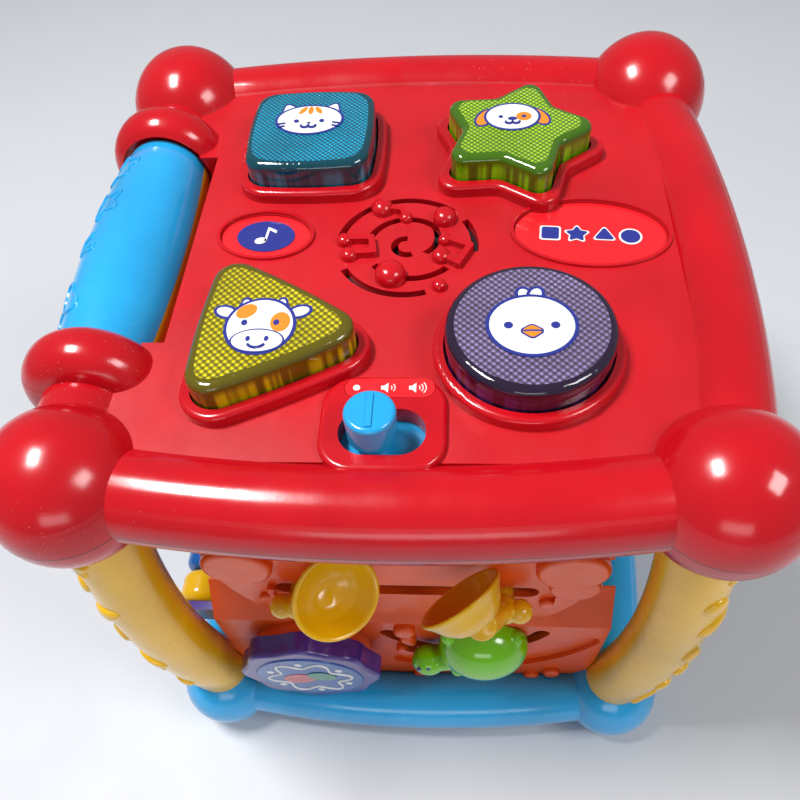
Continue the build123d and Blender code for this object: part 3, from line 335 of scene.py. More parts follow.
def new_piece(name, verts, faces, material, body, slot, smooth=True):
    """A mesh piece from points in millimetres, riding on a body."""
    mesh = bpy.data.meshes.new(name)
    mesh.from_pydata([Vector(v) * MM for v in verts], [], faces)
    mesh.validate()
    bm = bmesh.new()
    bm.from_mesh(mesh)
    bmesh.ops.recalc_face_normals(bm, faces=bm.faces)
    bm.to_mesh(mesh)
    bm.free()
    mesh.materials.append(material)
    piece = bpy.data.objects.new(name, mesh)
    bpy.context.scene.collection.objects.link(piece)
    if smooth:
        mesh.polygons.foreach_set("use_smooth", [True] * len(mesh.polygons))
        mesh.set_sharp_from_angle(angle=math.radians(40))
    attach(piece, body)
    return piece


def on_top(centre, z, turn=0.0):
    """Placer for flat work lying level: local x, y and height to the row frame."""
    c = math.cos(math.radians(turn))
    s = math.sin(math.radians(turn))
    return lambda x, y, h: (centre[0] + x * c - y * s, centre[1] + x * s + y * c, z + h)


def on_front(centre, y_face, turn=0.0):
    """Placer for work standing on a face that looks towards -Y."""
    c = math.cos(math.radians(turn))
    s = math.sin(math.radians(turn))
    return lambda x, y, h: (centre[0] + x * c - y * s, y_face - h, centre[1] + x * s + y * c)


def turned_place(place, degrees):
    """The same placer turned about the toy's vertical centre line."""
    c = math.cos(math.radians(degrees))
    s = math.sin(math.radians(degrees))

    def turned(x, y, h):
        p = place(x, y, h)
        return (p[0] * c - p[1] * s, p[0] * s + p[1] * c, p[2])
    return turned


def pillow(name, outline, height, place, material, body, slot, crown=3.0, sink=0.4, rings=7):
    """A raised shape with rounded shoulders, grown from its outline to its middle."""
    cx = sum(p[0] for p in outline) / len(outline)
    cy = sum(p[1] for p in outline) / len(outline)
    count = len(outline)
    verts = [place(x, y, -sink) for x, y in outline]
    for k in range(rings):
        share = 1 - k / rings
        lift = height * (1 - share ** crown) ** 0.5 if k else height * 0.12
        shrink = share if k else 1.0
        verts += [place(cx + (x - cx) * shrink, cy + (y - cy) * shrink, lift) for x, y in outline]
    verts.append(place(cx, cy, height))
    faces = []
    for k in range(rings):
        for j in range(count):
            a = k * count + j
            b = k * count + (j + 1) % count
            faces.append((a, b, b + count, a + count))
    last = rings * count
    faces += [(last + j, last + (j + 1) % count, len(verts) - 1) for j in range(count)]
    faces.append(tuple(range(count)))
    return new_piece(name, verts, faces, material, body, slot)


def flat_print(name, outline, layer, place, material, body, slot, thickness=0.05):
    """A thin flat printed shape; layer says how many prints lie under it."""
    low = layer * thickness
    count = len(outline)
    verts = [place(x, y, low) for x, y in outline] + [place(x, y, low + thickness) for x, y in outline]
    faces = [tuple(range(count)), tuple(range(count, 2 * count))]
    faces += [(j, (j + 1) % count, count + (j + 1) % count, count + j) for j in range(count)]
    return new_piece(name, verts, faces, material, body, slot, smooth=False)


def ridge(name, path, radius, place, material, body, slot, closed=True, lift=0.0, sides=8):
    """A round raised line along a path drawn on a placed surface."""
    points = [Vector(place(x, y, lift)) for x, y in path]
    outward = [(Vector(place(x, y, lift + 1.0)) - p).normalized() for (x, y), p in zip(path, points)]
    count = len(points)
    verts = []
    for k in range(count):
        before = points[k - 1] if closed or k else points[k]
        after = points[(k + 1) % count] if closed or k < count - 1 else points[k]
        along = (after - before).normalized()
        side = along.cross(outward[k]).normalized()
        for j in range(sides):
            angle = 2 * math.pi * j / sides
            across = side * (radius * math.cos(angle))
            verts.append(points[k] + across + outward[k] * (radius * math.sin(angle)))
    faces = []
    for k in range(count if closed else count - 1):
        for j in range(sides):
            a = k * sides + j
            b = k * sides + (j + 1) % sides
            c = ((k + 1) % count) * sides + (j + 1) % sides
            d = ((k + 1) % count) * sides + j
            faces.append((a, b, c, d))
    if not closed:
        faces += [tuple(range(sides)), tuple(range((count - 1) * sides, count * sides))]
    return new_piece(name, verts, faces, material, body, slot)


def fused(name, solids, voxel, passes, material, body):
    """Overlapping solids melted into one smooth moulding."""
    bm = bmesh.new()
    for verts, faces in solids:
        made = [bm.verts.new(Vector(v) * MM) for v in verts]
        for face in faces:
            bm.faces.new([made[k] for k in face])
    bmesh.ops.recalc_face_normals(bm, faces=bm.faces)
    mesh = bpy.data.meshes.new(name)
    bm.to_mesh(mesh)
    bm.free()
    piece = bpy.data.objects.new(name, mesh)
    bpy.context.scene.collection.objects.link(piece)
    remesh = piece.modifiers.new("melt", "REMESH")
    remesh.mode = "VOXEL"
    remesh.voxel_size = voxel * MM
    smooth = piece.modifiers.new("smooth", "SMOOTH")
    smooth.iterations = passes
    smooth.factor = 0.5
    bpy.context.view_layer.update()
    done = bpy.data.meshes.new_from_object(piece.evaluated_get(bpy.context.evaluated_depsgraph_get()))
    piece.modifiers.clear()
    piece.data = done
    done.materials.clear()
    done.materials.append(material)
    done.polygons.foreach_set("use_smooth", [True] * len(done.polygons))
    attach(piece, body)
    return piece


def blob(centre, radii, steps=20):
    """A closed ellipsoid as (verts, faces)."""
    verts = [(centre[0], centre[1], centre[2] - radii[2])]
    for i in range(1, steps):
        polar = math.pi * i / steps
        for j in range(2 * steps):
            around = math.pi * j / steps
            verts.append((
                centre[0] + radii[0] * math.sin(polar) * math.cos(around),
                centre[1] + radii[1] * math.sin(polar) * math.sin(around),
                centre[2] - radii[2] * math.cos(polar)))
    verts.append((centre[0], centre[1], centre[2] + radii[2]))
    ring = 2 * steps
    faces = [(0, 1 + (j + 1) % ring, 1 + j) for j in range(ring)]
    for i in range(steps - 2):
        for j in range(ring):
            a = 1 + i * ring + j
            b = 1 + i * ring + (j + 1) % ring
            faces.append((a, b, b + ring, a + ring))
    top = len(verts) - 1
    faces += [(top - ring + j, top - ring + (j + 1) % ring, top) for j in range(ring)]
    return verts, faces


def lathe(profile, origin, axis, steps=64):
    """A closed profile of (radius, height) turned about an axis, as (verts, faces)."""
    turn = Vector((0, 0, 1)).rotation_difference(Vector(axis).normalized())
    verts = []
    for radius, height in profile:
        for j in range(steps):
            angle = 2 * math.pi * j / steps
            point = Vector((radius * math.cos(angle), radius * math.sin(angle), height))
            verts.append(Vector(origin) + turn @ point)
    faces = []
    for k in range(len(profile) - 1):
        for j in range(steps):
            a = k * steps + j
            b = k * steps + (j + 1) % steps
            faces.append((a, b, b + steps, a + steps))
    faces.append(tuple(range(steps)))
    faces.append(tuple(range((len(profile) - 1) * steps, len(profile) * steps)))
    return verts, faces


def rod(start, end, r_start, r_end):
    """A tapering rod with rounded ends."""
    axis = Vector(end) - Vector(start)
    length = axis.length
    profile = [(0.01, -0.3 * r_start), (0.8 * r_start, -0.1 * r_start), (r_start, 0.4), (r_end, length - 0.4),
               (0.8 * r_end, length), (0.01, length + 0.3 * r_end)]
    return lathe(profile, start, axis, 32)


# ---- Outlines ----

def ellipse(a, b, at=(0.0, 0.0), steps=48, turn=0.0):
    c = math.cos(math.radians(turn))
    s = math.sin(math.radians(turn))
    points = []
    for k in range(steps):
        x = a * math.cos(2 * math.pi * k / steps)
        y = b * math.sin(2 * math.pi * k / steps)
        points.append((at[0] + x * c - y * s, at[1] + x * s + y * c))
    return points


def rounded(points, radius, steps=8):
    """A polygon with its corners rounded by arcs."""
    count = len(points)
    outline = []
    for k in range(count):
        here = Vector(points[k])
        to_before = (Vector(points[k - 1]) - here).normalized()
        to_after = (Vector(points[(k + 1) % count]) - here).normalized()
        half = math.acos(max(-1.0, min(1.0, to_before.dot(to_after)))) / 2
        start = here + to_before * (radius / math.tan(half))
        end = here + to_after * (radius / math.tan(half))
        middle = here + (to_before + to_after).normalized() * (radius / math.sin(half))
        from_angle = math.atan2(start.y - middle.y, start.x - middle.x)
        to_angle = math.atan2(end.y - middle.y, end.x - middle.x)
        sweep = (to_angle - from_angle + math.pi) % (2 * math.pi) - math.pi
        for j in range(steps + 1):
            angle = from_angle + sweep * j / steps
            outline.append((middle.x + radius * math.cos(angle), middle.y + radius * math.sin(angle)))
    return outline


def star(tip, notch, turn, corner, points=5):
    corners = []
    for k in range(2 * points):
        radius = tip if k % 2 == 0 else notch
        angle = math.radians(turn + 180 * k / points)
        corners.append((radius * math.cos(angle), radius * math.sin(angle)))
    return rounded(corners, corner)


def rounded_box(half_width, half_height, corner):
    return rounded([(-half_width, -half_height), (half_width, -half_height), (half_width, half_height),
                    (-half_width, half_height)], corner)


def wavy(radius, waves, depth, steps=120):
    points = []
    for k in range(steps):
        angle = 2 * math.pi * k / steps
        reach = radius + depth * math.cos(waves * angle)
        points.append((reach * math.cos(angle), reach * math.sin(angle)))
    return points


def shifted(outline, dx, dy, scale=1.0):
    return [(dx + x * scale, dy + y * scale) for x, y in outline]


def arc_path(radius, start, end, at=(0.0, 0.0), steps=14):
    points = []
    for k in range(steps + 1):
        angle = math.radians(start + (end - start) * k / steps)
        points.append((at[0] + radius * math.cos(angle), at[1] + radius * math.sin(angle)))
    return points


# ---- Button tops and their animal faces ----

def bowed(corners, bow, corner, steps=6):
    """A centred polygon whose sides swell outwards, with rounded corners."""
    points = []
    for k, start in enumerate(corners):
        end = corners[(k + 1) % len(corners)]
        middle = (Vector(start) + Vector(end)) / 2
        for j in range(steps):
            t = j / steps
            swell = middle.normalized() * (bow * 4 * t * (1 - t))
            spot = Vector(start).lerp(Vector(end), t) + swell
            points.append((spot.x, spot.y))
    return softened(points, steps, corner)


def softened(points, spacing, corner):
    """Replaces every spacing-th point, a sharp corner, by an arc."""
    outline = []
    count = len(points)
    for k, point in enumerate(points):
        if k % spacing:
            if all((Vector(point) - Vector(points[j])).length > corner for j in range(0, count, spacing)):
                outline.append(point)
            continue
        before = Vector(points[k - 1])
        after = Vector(points[(k + 1) % count])
        here = Vector(point)
        start = here + (before - here).normalized() * corner
        end = here + (after - here).normalized() * corner
        for j in range(9):
            t = j / 8
            spot = start * (1 - t) ** 2 + here * (2 * t * (1 - t)) + end * t ** 2
            outline.append((spot.x, spot.y))
    return outline


GRID_OUTLINES = {
    "square": bowed([(-13.8, -13.8), (13.8, -13.8), (13.8, 13.8), (-13.8, 13.8)], 1.2, 5.0),
    "star": star(19.0, 11.5, 2.0, 3.0),
    "triangle": bowed(arc_path(20.4, -2.5, 237.5, steps=2), 1.3, 5.6),
    "circle": ellipse(16.1, 16.1),
}
FACE_SHIFT = {"square": (-0.6, 2.4), "star": (-0.6, 3.2), "triangle": (0.8, -1.4), "circle": (0.0, -0.6)}
LENS_SLOTS = {"square": "teal_lens", "star": "green_lens", "triangle": "yellow_lens", "circle": "plum_lens"}


def button_grid(shape):
    place = on_top(LENS_AT[shape], LENS_TOP_Z)
    return flat_print("grid_" + shape, GRID_OUTLINES[shape], 0, place, GRIDS[shape], "lens_" + shape,
                      LENS_SLOTS[shape])


class Face:
    """Prints the pieces of one animal face in layers on a button."""

    def __init__(self, shape, size):
        shift = FACE_SHIFT[shape]
        centre = (LENS_AT[shape][0] + shift[0], LENS_AT[shape][1] + shift[1])
        self.place = on_top(centre, LENS_TOP_Z)
        self.shape = shape
        self.size = size
        self.count = 0

    def name(self):
        self.count += 1
        return "face_" + self.shape + "_" + str(self.count)

    def patch(self, outline, layer, ink):
        outline = shifted(outline, 0, 0, self.size)
        flat_print(self.name(), outline, layer, self.place, INK[ink], "lens_" + self.shape,
                   LENS_SLOTS[self.shape])

    def outlined(self, outline, layer, ink, border=0.09):
        """A patch with a dark line round it."""
        cx = sum(p[0] for p in outline) / len(outline)
        cy = sum(p[1] for p in outline) / len(outline)
        grown = []
        for x, y in outline:
            reach = math.hypot(x - cx, y - cy)
            grown.append((x + (x - cx) / reach * border, y + (y - cy) / reach * border))
        self.patch(grown, layer, "blue")
        self.patch(outline, layer + 1, ink)

    def line(self, path, width=0.045):
        path = shifted(path, 0, 0, self.size)
        ridge(self.name(), path, width * self.size, self.place, INK["blue"], "lens_" + self.shape,
              LENS_SLOTS[self.shape], closed=False, lift=0.35, sides=6)

    def eyes(self, spread, y, radius):
        for side in (-1, 1):
            self.patch(ellipse(radius, radius, (side * spread, y), 24), 7, "blue")


def cat_face():
    face = Face("square", 8.0)
    for side in (-1, 1):
        ear = rounded([(side * 1.0, 0.1), (side * 0.86, 0.92), (side * 0.3, 0.55)], 0.1)
        face.outlined(ear, 1, "white")
    face.outlined(ellipse(1.06, 0.74), 3, "white")
    for x, turn in ((-0.26, 60), (0.0, 90), (0.26, 120)):
        face.patch(ellipse(0.22, 0.09, (x, 0.5), 24, turn), 5, "orange")
    face.eyes(0.42, -0.1, 0.085)
    face.patch(rounded([(-0.1, -0.16), (0.1, -0.16), (0.0, -0.28)], 0.03), 6, "blue")
    for side in (-1, 1):
        face.line(arc_path(0.12, 180, 360, (side * 0.12, -0.34)))
        for y in (-0.2, -0.36):
            face.line([(side * 0.78, y), (side * 0.9, y - 0.03), (side * 1.02, y - 0.05)], 0.03)


def dog_face():
    face = Face("star", 7.4)
    for side in (-1, 1):
        face.outlined(ellipse(0.26, 0.5, (side * 0.92, 0.0), 32, side * 30), 1, "orange")
    face.outlined(ellipse(0.9, 0.72), 3, "white")
    face.patch(ellipse(0.27, 0.25, (0.4, -0.02), 32), 5, "orange")
    for side in (-1, 1):
        face.patch(ellipse(0.08, 0.08, (side * 0.4, -0.02), 24), 6, "blue")
    face.patch(ellipse(0.16, 0.1, (0.0, -0.14), 24), 6, "blue")
    for side in (-1, 1):
        face.line(arc_path(0.12, 180, 360, (side * 0.12, -0.32)))


def cow_face():
    face = Face("triangle", 8.2)
    for side in (-1, 1):
        horn = rounded([(side * 0.3, 0.6), (side * 0.5, 1.12), (side * 0.66, 0.5)], 0.08)
        face.outlined(horn, 1, "white")
        face.outlined(ellipse(0.26, 0.16, (side * 0.98, 0.5), 24, side * 20), 1, "white")
    face.outlined(ellipse(0.86, 0.9), 3, "white")
    face.patch(ellipse(0.3, 0.22, (-0.42, 0.5), 32, 40), 5, "orange")
    face.patch(ellipse(0.26, 0.34, (0.52, 0.12), 32), 5, "orange")
    face.outlined(ellipse(0.66, 0.36, (0.0, -0.52)), 5, "white", 0.05)
    for side in (-1, 1):
        face.patch(ellipse(0.08, 0.1, (side * 0.42, 0.1), 24), 6, "blue")
        face.patch(ellipse(0.06, 0.09, (side * 0.24, -0.46), 24), 7, "blue")
    face.line(arc_path(0.26, 215, 325, (0.0, -0.5)))


def chick_face():
    face = Face("circle", 8.6)
    for side in (-1, 1):
        face.outlined(ellipse(0.14, 0.2, (side * 0.14, 1.02), 24, side * -20), 1 + 2 * (side > 0), "white")
    face.outlined(ellipse(1.02, 0.92), 5, "white")
    face.eyes(0.56, -0.02, 0.11)
    face.outlined(rounded([(-0.3, -0.2), (0.0, -0.02), (0.3, -0.2), (0.0, -0.42)], 0.09), 7, "orange", 0.05)
    face.line([(-0.26, -0.21), (0.0, -0.2), (0.26, -0.21)], 0.035)


for lens_shape in LENS_AT:
    button_grid(lens_shape)
cat_face()
dog_face()
cow_face()
chick_face()


# ---- Deck labels ----

def left_badge():
    place = on_top(LEFT_BADGE_AT, BADGE_TOP_Z, BADGE_TILT)
    flat_print("badge_left_oval", ellipse(7.4, 5.6), 1, place, INK["blue"], "housing", "red_label", 0.08)
    note = ellipse(1.5, 1.15, (-1.0, -1.8), 24, 20)
    flat_print("badge_left_note_head", note, 2, place, INK["white"], "housing", "white_plastic", 0.08)
    stem = [(-0.1, -1.9), (0.5, -1.9), (0.5, 2.2), (2.4, 1.2), (2.4, 2.2), (0.2, 3.3), (-0.1, 3.2)]
    flat_print("badge_left_note_stem", stem, 2, place, INK["white"], "housing", "white_plastic", 0.08)


def right_badge():
    """Four plain play shapes stand in for the wording."""
    place = on_top(RIGHT_BADGE_AT, BADGE_TOP_Z, BADGE_TILT)
    shapes = (
        ("square", rounded_box(2.1, 2.1, 0.6), -9.6), ("star", star(3.0, 1.6, 90.0, 0.4), -3.2),
        ("triangle", rounded(arc_path(2.9, 90.0, 330.0, steps=2), 0.5), 3.4),
        ("circle", ellipse(2.3, 2.3), 9.6))
    for name, outline, x in shapes:
        rim = shifted(outline, x, -0.6, 1.22)
        flat_print("badge_right_rim_" + name, rim, 1, place, INK["white"], "housing", "white_plastic", 0.08)
        core = shifted(outline, x, -0.6)
        flat_print("badge_right_" + name, core, 2, place, INK["blue"], "housing", "red_label", 0.08)


def volume_marks():
    place = on_top(LABEL_AT, LABEL_TOP_Z)
    ink = INK["white"]
    flat_print("volume_off", ellipse(0.75, 0.75, (-7.0, 0.0), 24), 0, place, ink, "housing", "white_plastic")
    for name, x, waves in (("low", -0.9, 2), ("high", 5.0, 3)):
        horn = [(-0.9, -0.5), (-0.3, -0.5), (0.6, -1.3), (0.6, 1.3), (-0.3, 0.5), (-0.9, 0.5)]
        flat_print("volume_" + name + "_horn", shifted(horn, x, 0.0), 0, place, ink, "housing",
                   "white_plastic")
        for k in range(waves):
            path = arc_path(0.7 + 0.65 * k, -42, 42, (x + 0.7, 0.0))
            ridge("volume_" + name + "_wave_" + str(k + 1), path, 0.13, place, ink, "housing",
                  "white_plastic", closed=False)


left_badge()
right_badge()
volume_marks()


# ---- Roller: raised outline pictures on the blue shell ----

def on_roller(angle, y_at):
    """Placer on the barrel: local x runs along the axle, local y round the barrel."""
    def place(x, y, h):
        along = y_at + x
        bulge = ROLLER_MID_R - (ROLLER_MID_R - ROLLER_END_R) * (along / ROLLER_HALF) ** 2
        turn = math.radians(angle) + y / bulge
        reach = bulge + h
        return (ROLLER_X + reach * math.cos(turn), along, ROLLER_Z + reach * math.sin(turn))
    return place


def note_outline():
    return rounded([(-2.4, -3.0), (-0.4, -3.0), (-0.4, 1.4), (2.6, 2.4), (2.6, -1.0), (4.2, -1.0), (4.2, 4.4),
                    (-1.6, 2.6), (-1.6, -1.2), (-2.4, -1.2)], 0.4, 4)


ROLLER_RIDGE_R = 0.55
UNDER_RIDGE_R = 0.42
UNDER_ANGLE = 285.0
ROLLER_SINK = 0.08


def roller_pictures():
    pictures = (
        ("flower", wavy(4.6, 5, 1.1, 80), 25.0, 128.0), ("star", star(6.0, 3.1, 20.0, 0.6), 9.0, 124.0),
        ("note", note_outline(), -6.0, 128.0), ("heart", wavy(4.4, 3, 1.3, 80), -23.0, 138.0),
        ("star_low", star(4.0, 2.1, 50.0, 0.6), 16.0, 158.0),
        ("flower_low", wavy(3.0, 4, 0.8, 80), -28.0, 168.0),
        ("note_low", note_outline(), 0.0, 166.0))
    for name, outline, y_at, angle in pictures:
        ridge("roller_" + name, outline, ROLLER_RIDGE_R, on_roller(angle, y_at),
              MATERIALS["light_blue_plastic"], "roller", "light_blue_plastic", lift=-ROLLER_SINK)
    under_pictures = (("star", star(4.8, 2.5, 20.0, 0.6), 14.0), ("flower", wavy(3.6, 5, 0.9, 80), -14.0))
    for name, outline, y_at in under_pictures:
        ridge("roller_under_" + name, outline, UNDER_RIDGE_R, on_roller(UNDER_ANGLE, y_at),
              MATERIALS["yellow_plastic"], "roller", "yellow_plastic", lift=-ROLLER_SINK)


roller_pictures()


# ---- Posts: raised shapes on the outward faces ----

def on_post(x_side, y_side, z_at, swing=0.0):
    """Placer on a post: local x runs round it from its outward corner, local y up it."""
    def place(x, y, h):
        z = z_at + y
        share = (z - POST_LOW_Z) / (POST_HIGH_Z - POST_LOW_Z)
        centre = POST_END + (POST_MID - POST_END) * 4 * share * (1 - share)
        turn = math.atan2(y_side, x_side) + math.radians(swing) + x / POST_R
        out = POST_R + h
        return (x_side * centre + out * math.cos(turn), y_side * centre + out * math.sin(turn), z)
    return place


def teardrop(length, width, steps=40):
    points = []
    for k in range(steps):
        angle = 2 * math.pi * k / steps
        points.append((width * math.sin(angle) * math.sin(angle / 2) ** 1.4, length * math.cos(angle)))
    return points


def post_reliefs():
    corners = (("front_left", -1, -1, "yellow_plastic"), ("front_right", 1, -1, "yellow_plastic"),
               ("back_right", 1, 1, "light_blue_plastic"), ("back_left", -1, 1, "light_blue_plastic"))
    for name, x_side, y_side, slot in corners:
        reliefs = (
            ("star", star(5.6, 3.0, 90.0, 0.6), 130.0, 8.0), ("disc", ellipse(3.4, 3.4), 117.0, -16.0),
            ("leaf", ellipse(6.4, 3.0, turn=28.0), 105.0, 6.0), ("drop", teardrop(5.0, 4.2), 88.0, -12.0),
            ("bean", ellipse(5.6, 2.6, turn=-24.0), 70.0, 10.0), ("disc_low", ellipse(3.0, 3.0), 57.0, -10.0),
            ("crescent", ellipse(6.8, 2.4, turn=20.0), 44.0, 4.0),
            ("diamond", star(3.6, 2.3, 90.0, 0.4, 4), 35.0, -12.0))
        for shape, outline, z_at, swing in reliefs:
            pillow("post_" + name + "_" + shape, outline, 1.2, on_post(x_side, y_side, z_at, swing),
                   MATERIALS[slot], "housing", slot)


post_reliefs()


# ---- Cymbals ----

def cymbal(name):
    """A deep bell with a rounded rim, a thick arm to its boss and a small knob."""
    centre, facing, boss_x = CYMBALS[name]
    rim = CYMBAL_R
    outside = [(0.01, -9.0), (3.4, -8.6), (6.4, -7.2), (8.8, -4.8), (10.2, -2.2),
               (rim - 0.5, -0.5), (rim, 0.2)]
    inside = [(rim - 0.5, 0.8), (10.6, 0.4), (9.4, -1.4), (7.6, -3.8), (5.2, -5.6), (2.8, -6.6), (0.01, -6.9)]
    bell = lathe(outside + inside, centre, facing)
    hub = Vector(centre) - Vector(facing).normalized() * 8.0
    boss_at = (boss_x, CYMBAL_BOSS_Y, CYMBAL_Z)
    side = math.copysign(1.0, boss_x)
    arm = rod(boss_at, hub, 3.2, 4.4)
    boss = blob(boss_at, (CYMBAL_BOSS_R,) * 3)
    knob = blob((boss_x + side * CYMBAL_BOSS_R, CYMBAL_BOSS_Y - 0.9, CYMBAL_Z + 1.0), (CYMBAL_KNOB_R,) * 3)
    stem = rod(boss_at, (boss_x, -59.8, CYMBAL_Z), 2.7, 2.7)
    piece = fused(name + "_moulding", [bell, arm, boss, knob, stem], 0.34, 4, MATERIALS["yellow_plastic"],
                  name)
    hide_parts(name)


for cymbal_name in CYMBALS:
    cymbal(cymbal_name)


# ---- Turtle ----

def turtle():
    x, z = TURTLE_AT
    y = BLOCK_Y - 0.8
    solids = [
        blob((x + 0.8, y - 1.6, z + 1.0), (13.8, 10.6, 12.6), 28),
        blob((x - 16.0, y - 5.0, z - 4.6), (5.4, 4.9, 4.9)),
        rod((x - 7, y - 4.4, z - 2.0), (x - 15.5, y - 5.0, z - 4.6), 4.2, 3.8),
        blob((x - 1.0, y - 5.2, z - 11.6), (4.0, 3.6, 3.4))]
    for dx, dz, size in ((-6.8, -9.6, 2.5), (5.4, -9.8, 2.5), (-10.0, 9.0, 2.4), (10.0, 9.0, 2.4)):
        solids.append(blob((x + dx, y - 6.0, z + dz) if dz < 0 else (x + dx, y - 2.2, z + dz), (size,) * 3))
    solids.append(rod((TURTLE_PEG[0], y - 4, TURTLE_PEG[1]), (TURTLE_PEG[0], -62.0, TURTLE_PEG[1]), 2.0, 2.0))
    piece = fused("turtle_moulding", solids, 0.36, 5, MATERIALS["green_plastic"], "turtle")
    cut_behind(piece, y + 0.5, keep_radius=2.6, keep_at=TURTLE_PEG)
    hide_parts("turtle")
    for name, dx, dz in (("left", -19.0, -2.6), ("right", -16.0, -2.2)):
        eye = on_front((x + dx, z + dz), y - 8.9)
        pillow("turtle_eye_" + name, ellipse(0.7, 0.8, steps=20), 0.35, eye, INK["blue"], "turtle",
               "green_plastic")


def cut_behind(piece, y_limit, keep_radius, keep_at):
    """Flattens what lies behind a plane, apart from the peg."""
    for vertex in piece.data.vertices:
        x, y, z = vertex.co / MM
        from_peg = math.hypot(x - keep_at[0], z - keep_at[1])
        if y > y_limit and from_peg > keep_radius:
            vertex.co.y = y_limit * MM


turtle()


# ---- Dial: print on its window ----

def dial_print():
    place = on_front(DIAL_AT, DIAL_WINDOW_Y, 8.0)
    ridge("dial_star_line", wavy(11.6, 6, 2.2), 0.4, place, INK["white"], "dial", "white_plastic")
    red_blob = ellipse(5.6, 4.2, (-3.6, -0.6), 32, 16)
    flat_print("dial_blob_red", red_blob, 0, place, INK["red"], "dial", "red_label", 0.12)
    green_blob = ellipse(4.6, 3.6, (4.4, 1.4), 32, -20)
    flat_print("dial_blob_green", green_blob, 1, place, INK["green"], "dial", "green_plastic", 0.12)
    for k in range(6):
        angle = math.pi * (2 * k + 1) / 6
        dot = ellipse(1.15, 1.15, (12.8 * math.cos(angle), 12.8 * math.sin(angle)), 20)
        flat_print("dial_dot_" + str(k + 1), dot, 0, place, INK["white"], "dial", "white_plastic", 0.12)


dial_print()


# ---- Raised pictures on the sides that the camera does not see ----

def side_pictures():
    right = (("sun", wavy(8.0, 10, 1.2), (30.0, 108.0)), ("cloud", wavy(7.0, 4, 1.6), (-26.0, 110.0)),
             ("star", star(6.0, 3.2, 90.0, 0.8), (32.0, 36.0)), ("drop", teardrop(5.6, 4.0), (-34.0, 98.0)))
    for name, outline, at in right:
        place = turned_place(on_front(at, WALL_FACE_Y), 90.0)
        pillow("right_" + name, outline, 1.6, place, MATERIALS["green_plastic"], "housing", "green_plastic")
    back = (("note_left", note_outline(), (-38.0, 104.0)), ("note_right", note_outline(), (36.0, 110.0)),
            ("star_left", star(5.0, 2.7, 90.0, 0.7), (-36.0, 126.0)),
            ("star_right", star(5.0, 2.7, 90.0, 0.7), (38.0, 88.0)))
    for name, outline, at in back:
        place = turned_place(on_front(at, WALL_FACE_Y), 180.0)
        pillow("back_" + name, outline, 1.4, place, MATERIALS["light_blue_plastic"], "housing",
               "light_blue_plastic")
    ripple = turned_place(on_front(DRUM_AT, DRUM_FACE_Y), 180.0)
    for k in range(3):
        radius = 5.0 + 4.0 * k
        ridge("drum_ring_" + str(k + 1), ellipse(radius, radius), 0.5, ripple, MATERIALS["red_plastic"],
              "drum_button", "red_plastic")
    left = (("flower", wavy(6.0, 6, 1.3), (-42.0, 96.0)), ("heart", wavy(4.6, 3, 1.2), (42.0, 104.0)),
            ("star", star(5.2, 2.8, 90.0, 0.7), (44.0, 80.0)))
    for name, outline, at in left:
        place = turned_place(on_front(at, WALL_FACE_Y), -90.0)
        pillow("left_" + name, outline, 1.5, place, MATERIALS["purple_plastic"], "housing", "purple_plastic")
    door = turned_place(on_front(DOOR_AT, DOOR_FACE_Y), -90.0)
    pillow("door_star", star(8.0, 4.4, 90.0, 1.0), 1.2, door, MATERIALS["yellow_plastic"], "flip_door",
           "yellow_plastic")


side_pictures()


# ---- Camera, floor and light ----

CAMERA_AT = (13.976, -145.258, 282.855)
CAMERA_FORWARD = (-0.07000703, 0.53673723, -0.84084015)
CAMERA_RIGHT = (0.99751259, 0.04461611, -0.05457133)
CAMERA_LENS = 33.305
CAMERA_SHIFT = (-0.0059, 0.0798)


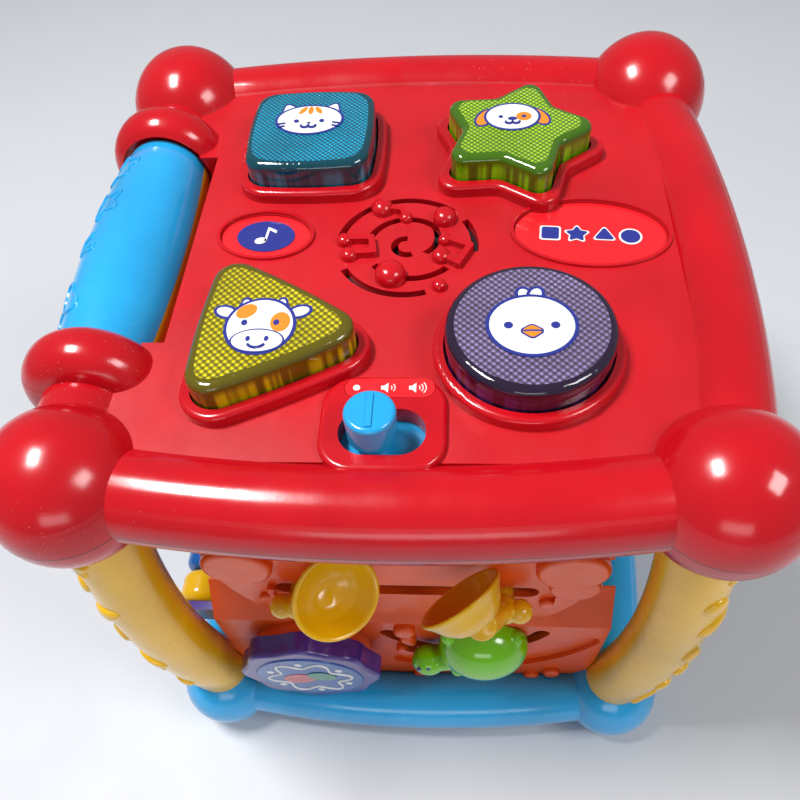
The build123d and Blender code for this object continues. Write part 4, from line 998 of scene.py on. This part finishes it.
def camera():
    data = bpy.data.cameras.new("camera")
    data.lens = CAMERA_LENS
    data.sensor_width = 36.0
    data.shift_x, data.shift_y = CAMERA_SHIFT
    data.clip_start = 0.01
    eye = bpy.data.objects.new("camera", data)
    forward = Vector(CAMERA_FORWARD)
    right = Vector(CAMERA_RIGHT)
    up = right.cross(forward)
    turn = Matrix((right, up, -forward)).transposed()
    eye.matrix_world = Matrix.Translation(Vector(CAMERA_AT) * MM) @ turn.to_4x4()
    bpy.context.scene.collection.objects.link(eye)
    bpy.context.scene.camera = eye


def floor():
    """A wide pale table with a very slight unevenness."""
    m = Nodes("floor")
    m.connect(m.mix(m.noise(3.0), linear((200, 202, 207)), linear((208, 210, 214))), "Base Color")
    m.connect(m.ranged(m.noise(40.0), 0.3, 0.7, 0.5, 0.6), "Roughness")
    mesh = bpy.data.meshes.new("floor")
    reach = 3.0
    corners = [(-reach, -reach, 0), (reach, -reach, 0), (reach, reach, 0), (-reach, reach, 0)]
    mesh.from_pydata(corners, [], [(0, 1, 2, 3)])
    mesh.materials.append(m.material)
    ground = bpy.data.objects.new("floor", mesh)
    bpy.context.scene.collection.objects.link(ground)


def area_light(name, at, target, size, power):
    data = bpy.data.lights.new(name, "AREA")
    data.shape = "RECTANGLE"
    data.size, data.size_y = size
    data.energy = power
    lamp = bpy.data.objects.new(name, data)
    lamp.location = at
    lamp.rotation_euler = (Vector(target) - Vector(at)).to_track_quat("-Z", "Y").to_euler()
    bpy.context.scene.collection.objects.link(lamp)


def lights():
    world = bpy.data.worlds.new("world")
    world.use_nodes = True
    world.node_tree.nodes["Background"].inputs["Color"].default_value = (0.92, 0.95, 1.0, 1.0)
    world.node_tree.nodes["Background"].inputs["Strength"].default_value = 0.27
    bpy.context.scene.world = world
    area_light("key", (-0.35, 0.0, 0.95), (0, 0, 0.1), (0.3, 0.16), 9.5)
    area_light("fill", (0.7, -0.3, 0.9), (0, 0, 0.08), (0.4, 0.3), 4.6)
    area_light("front", (0.0, -0.9, 0.35), (0, 0, 0.08), (0.5, 0.2), 0.9)
    bpy.context.scene.view_settings.view_transform = "Standard"


camera()
floor()
lights()
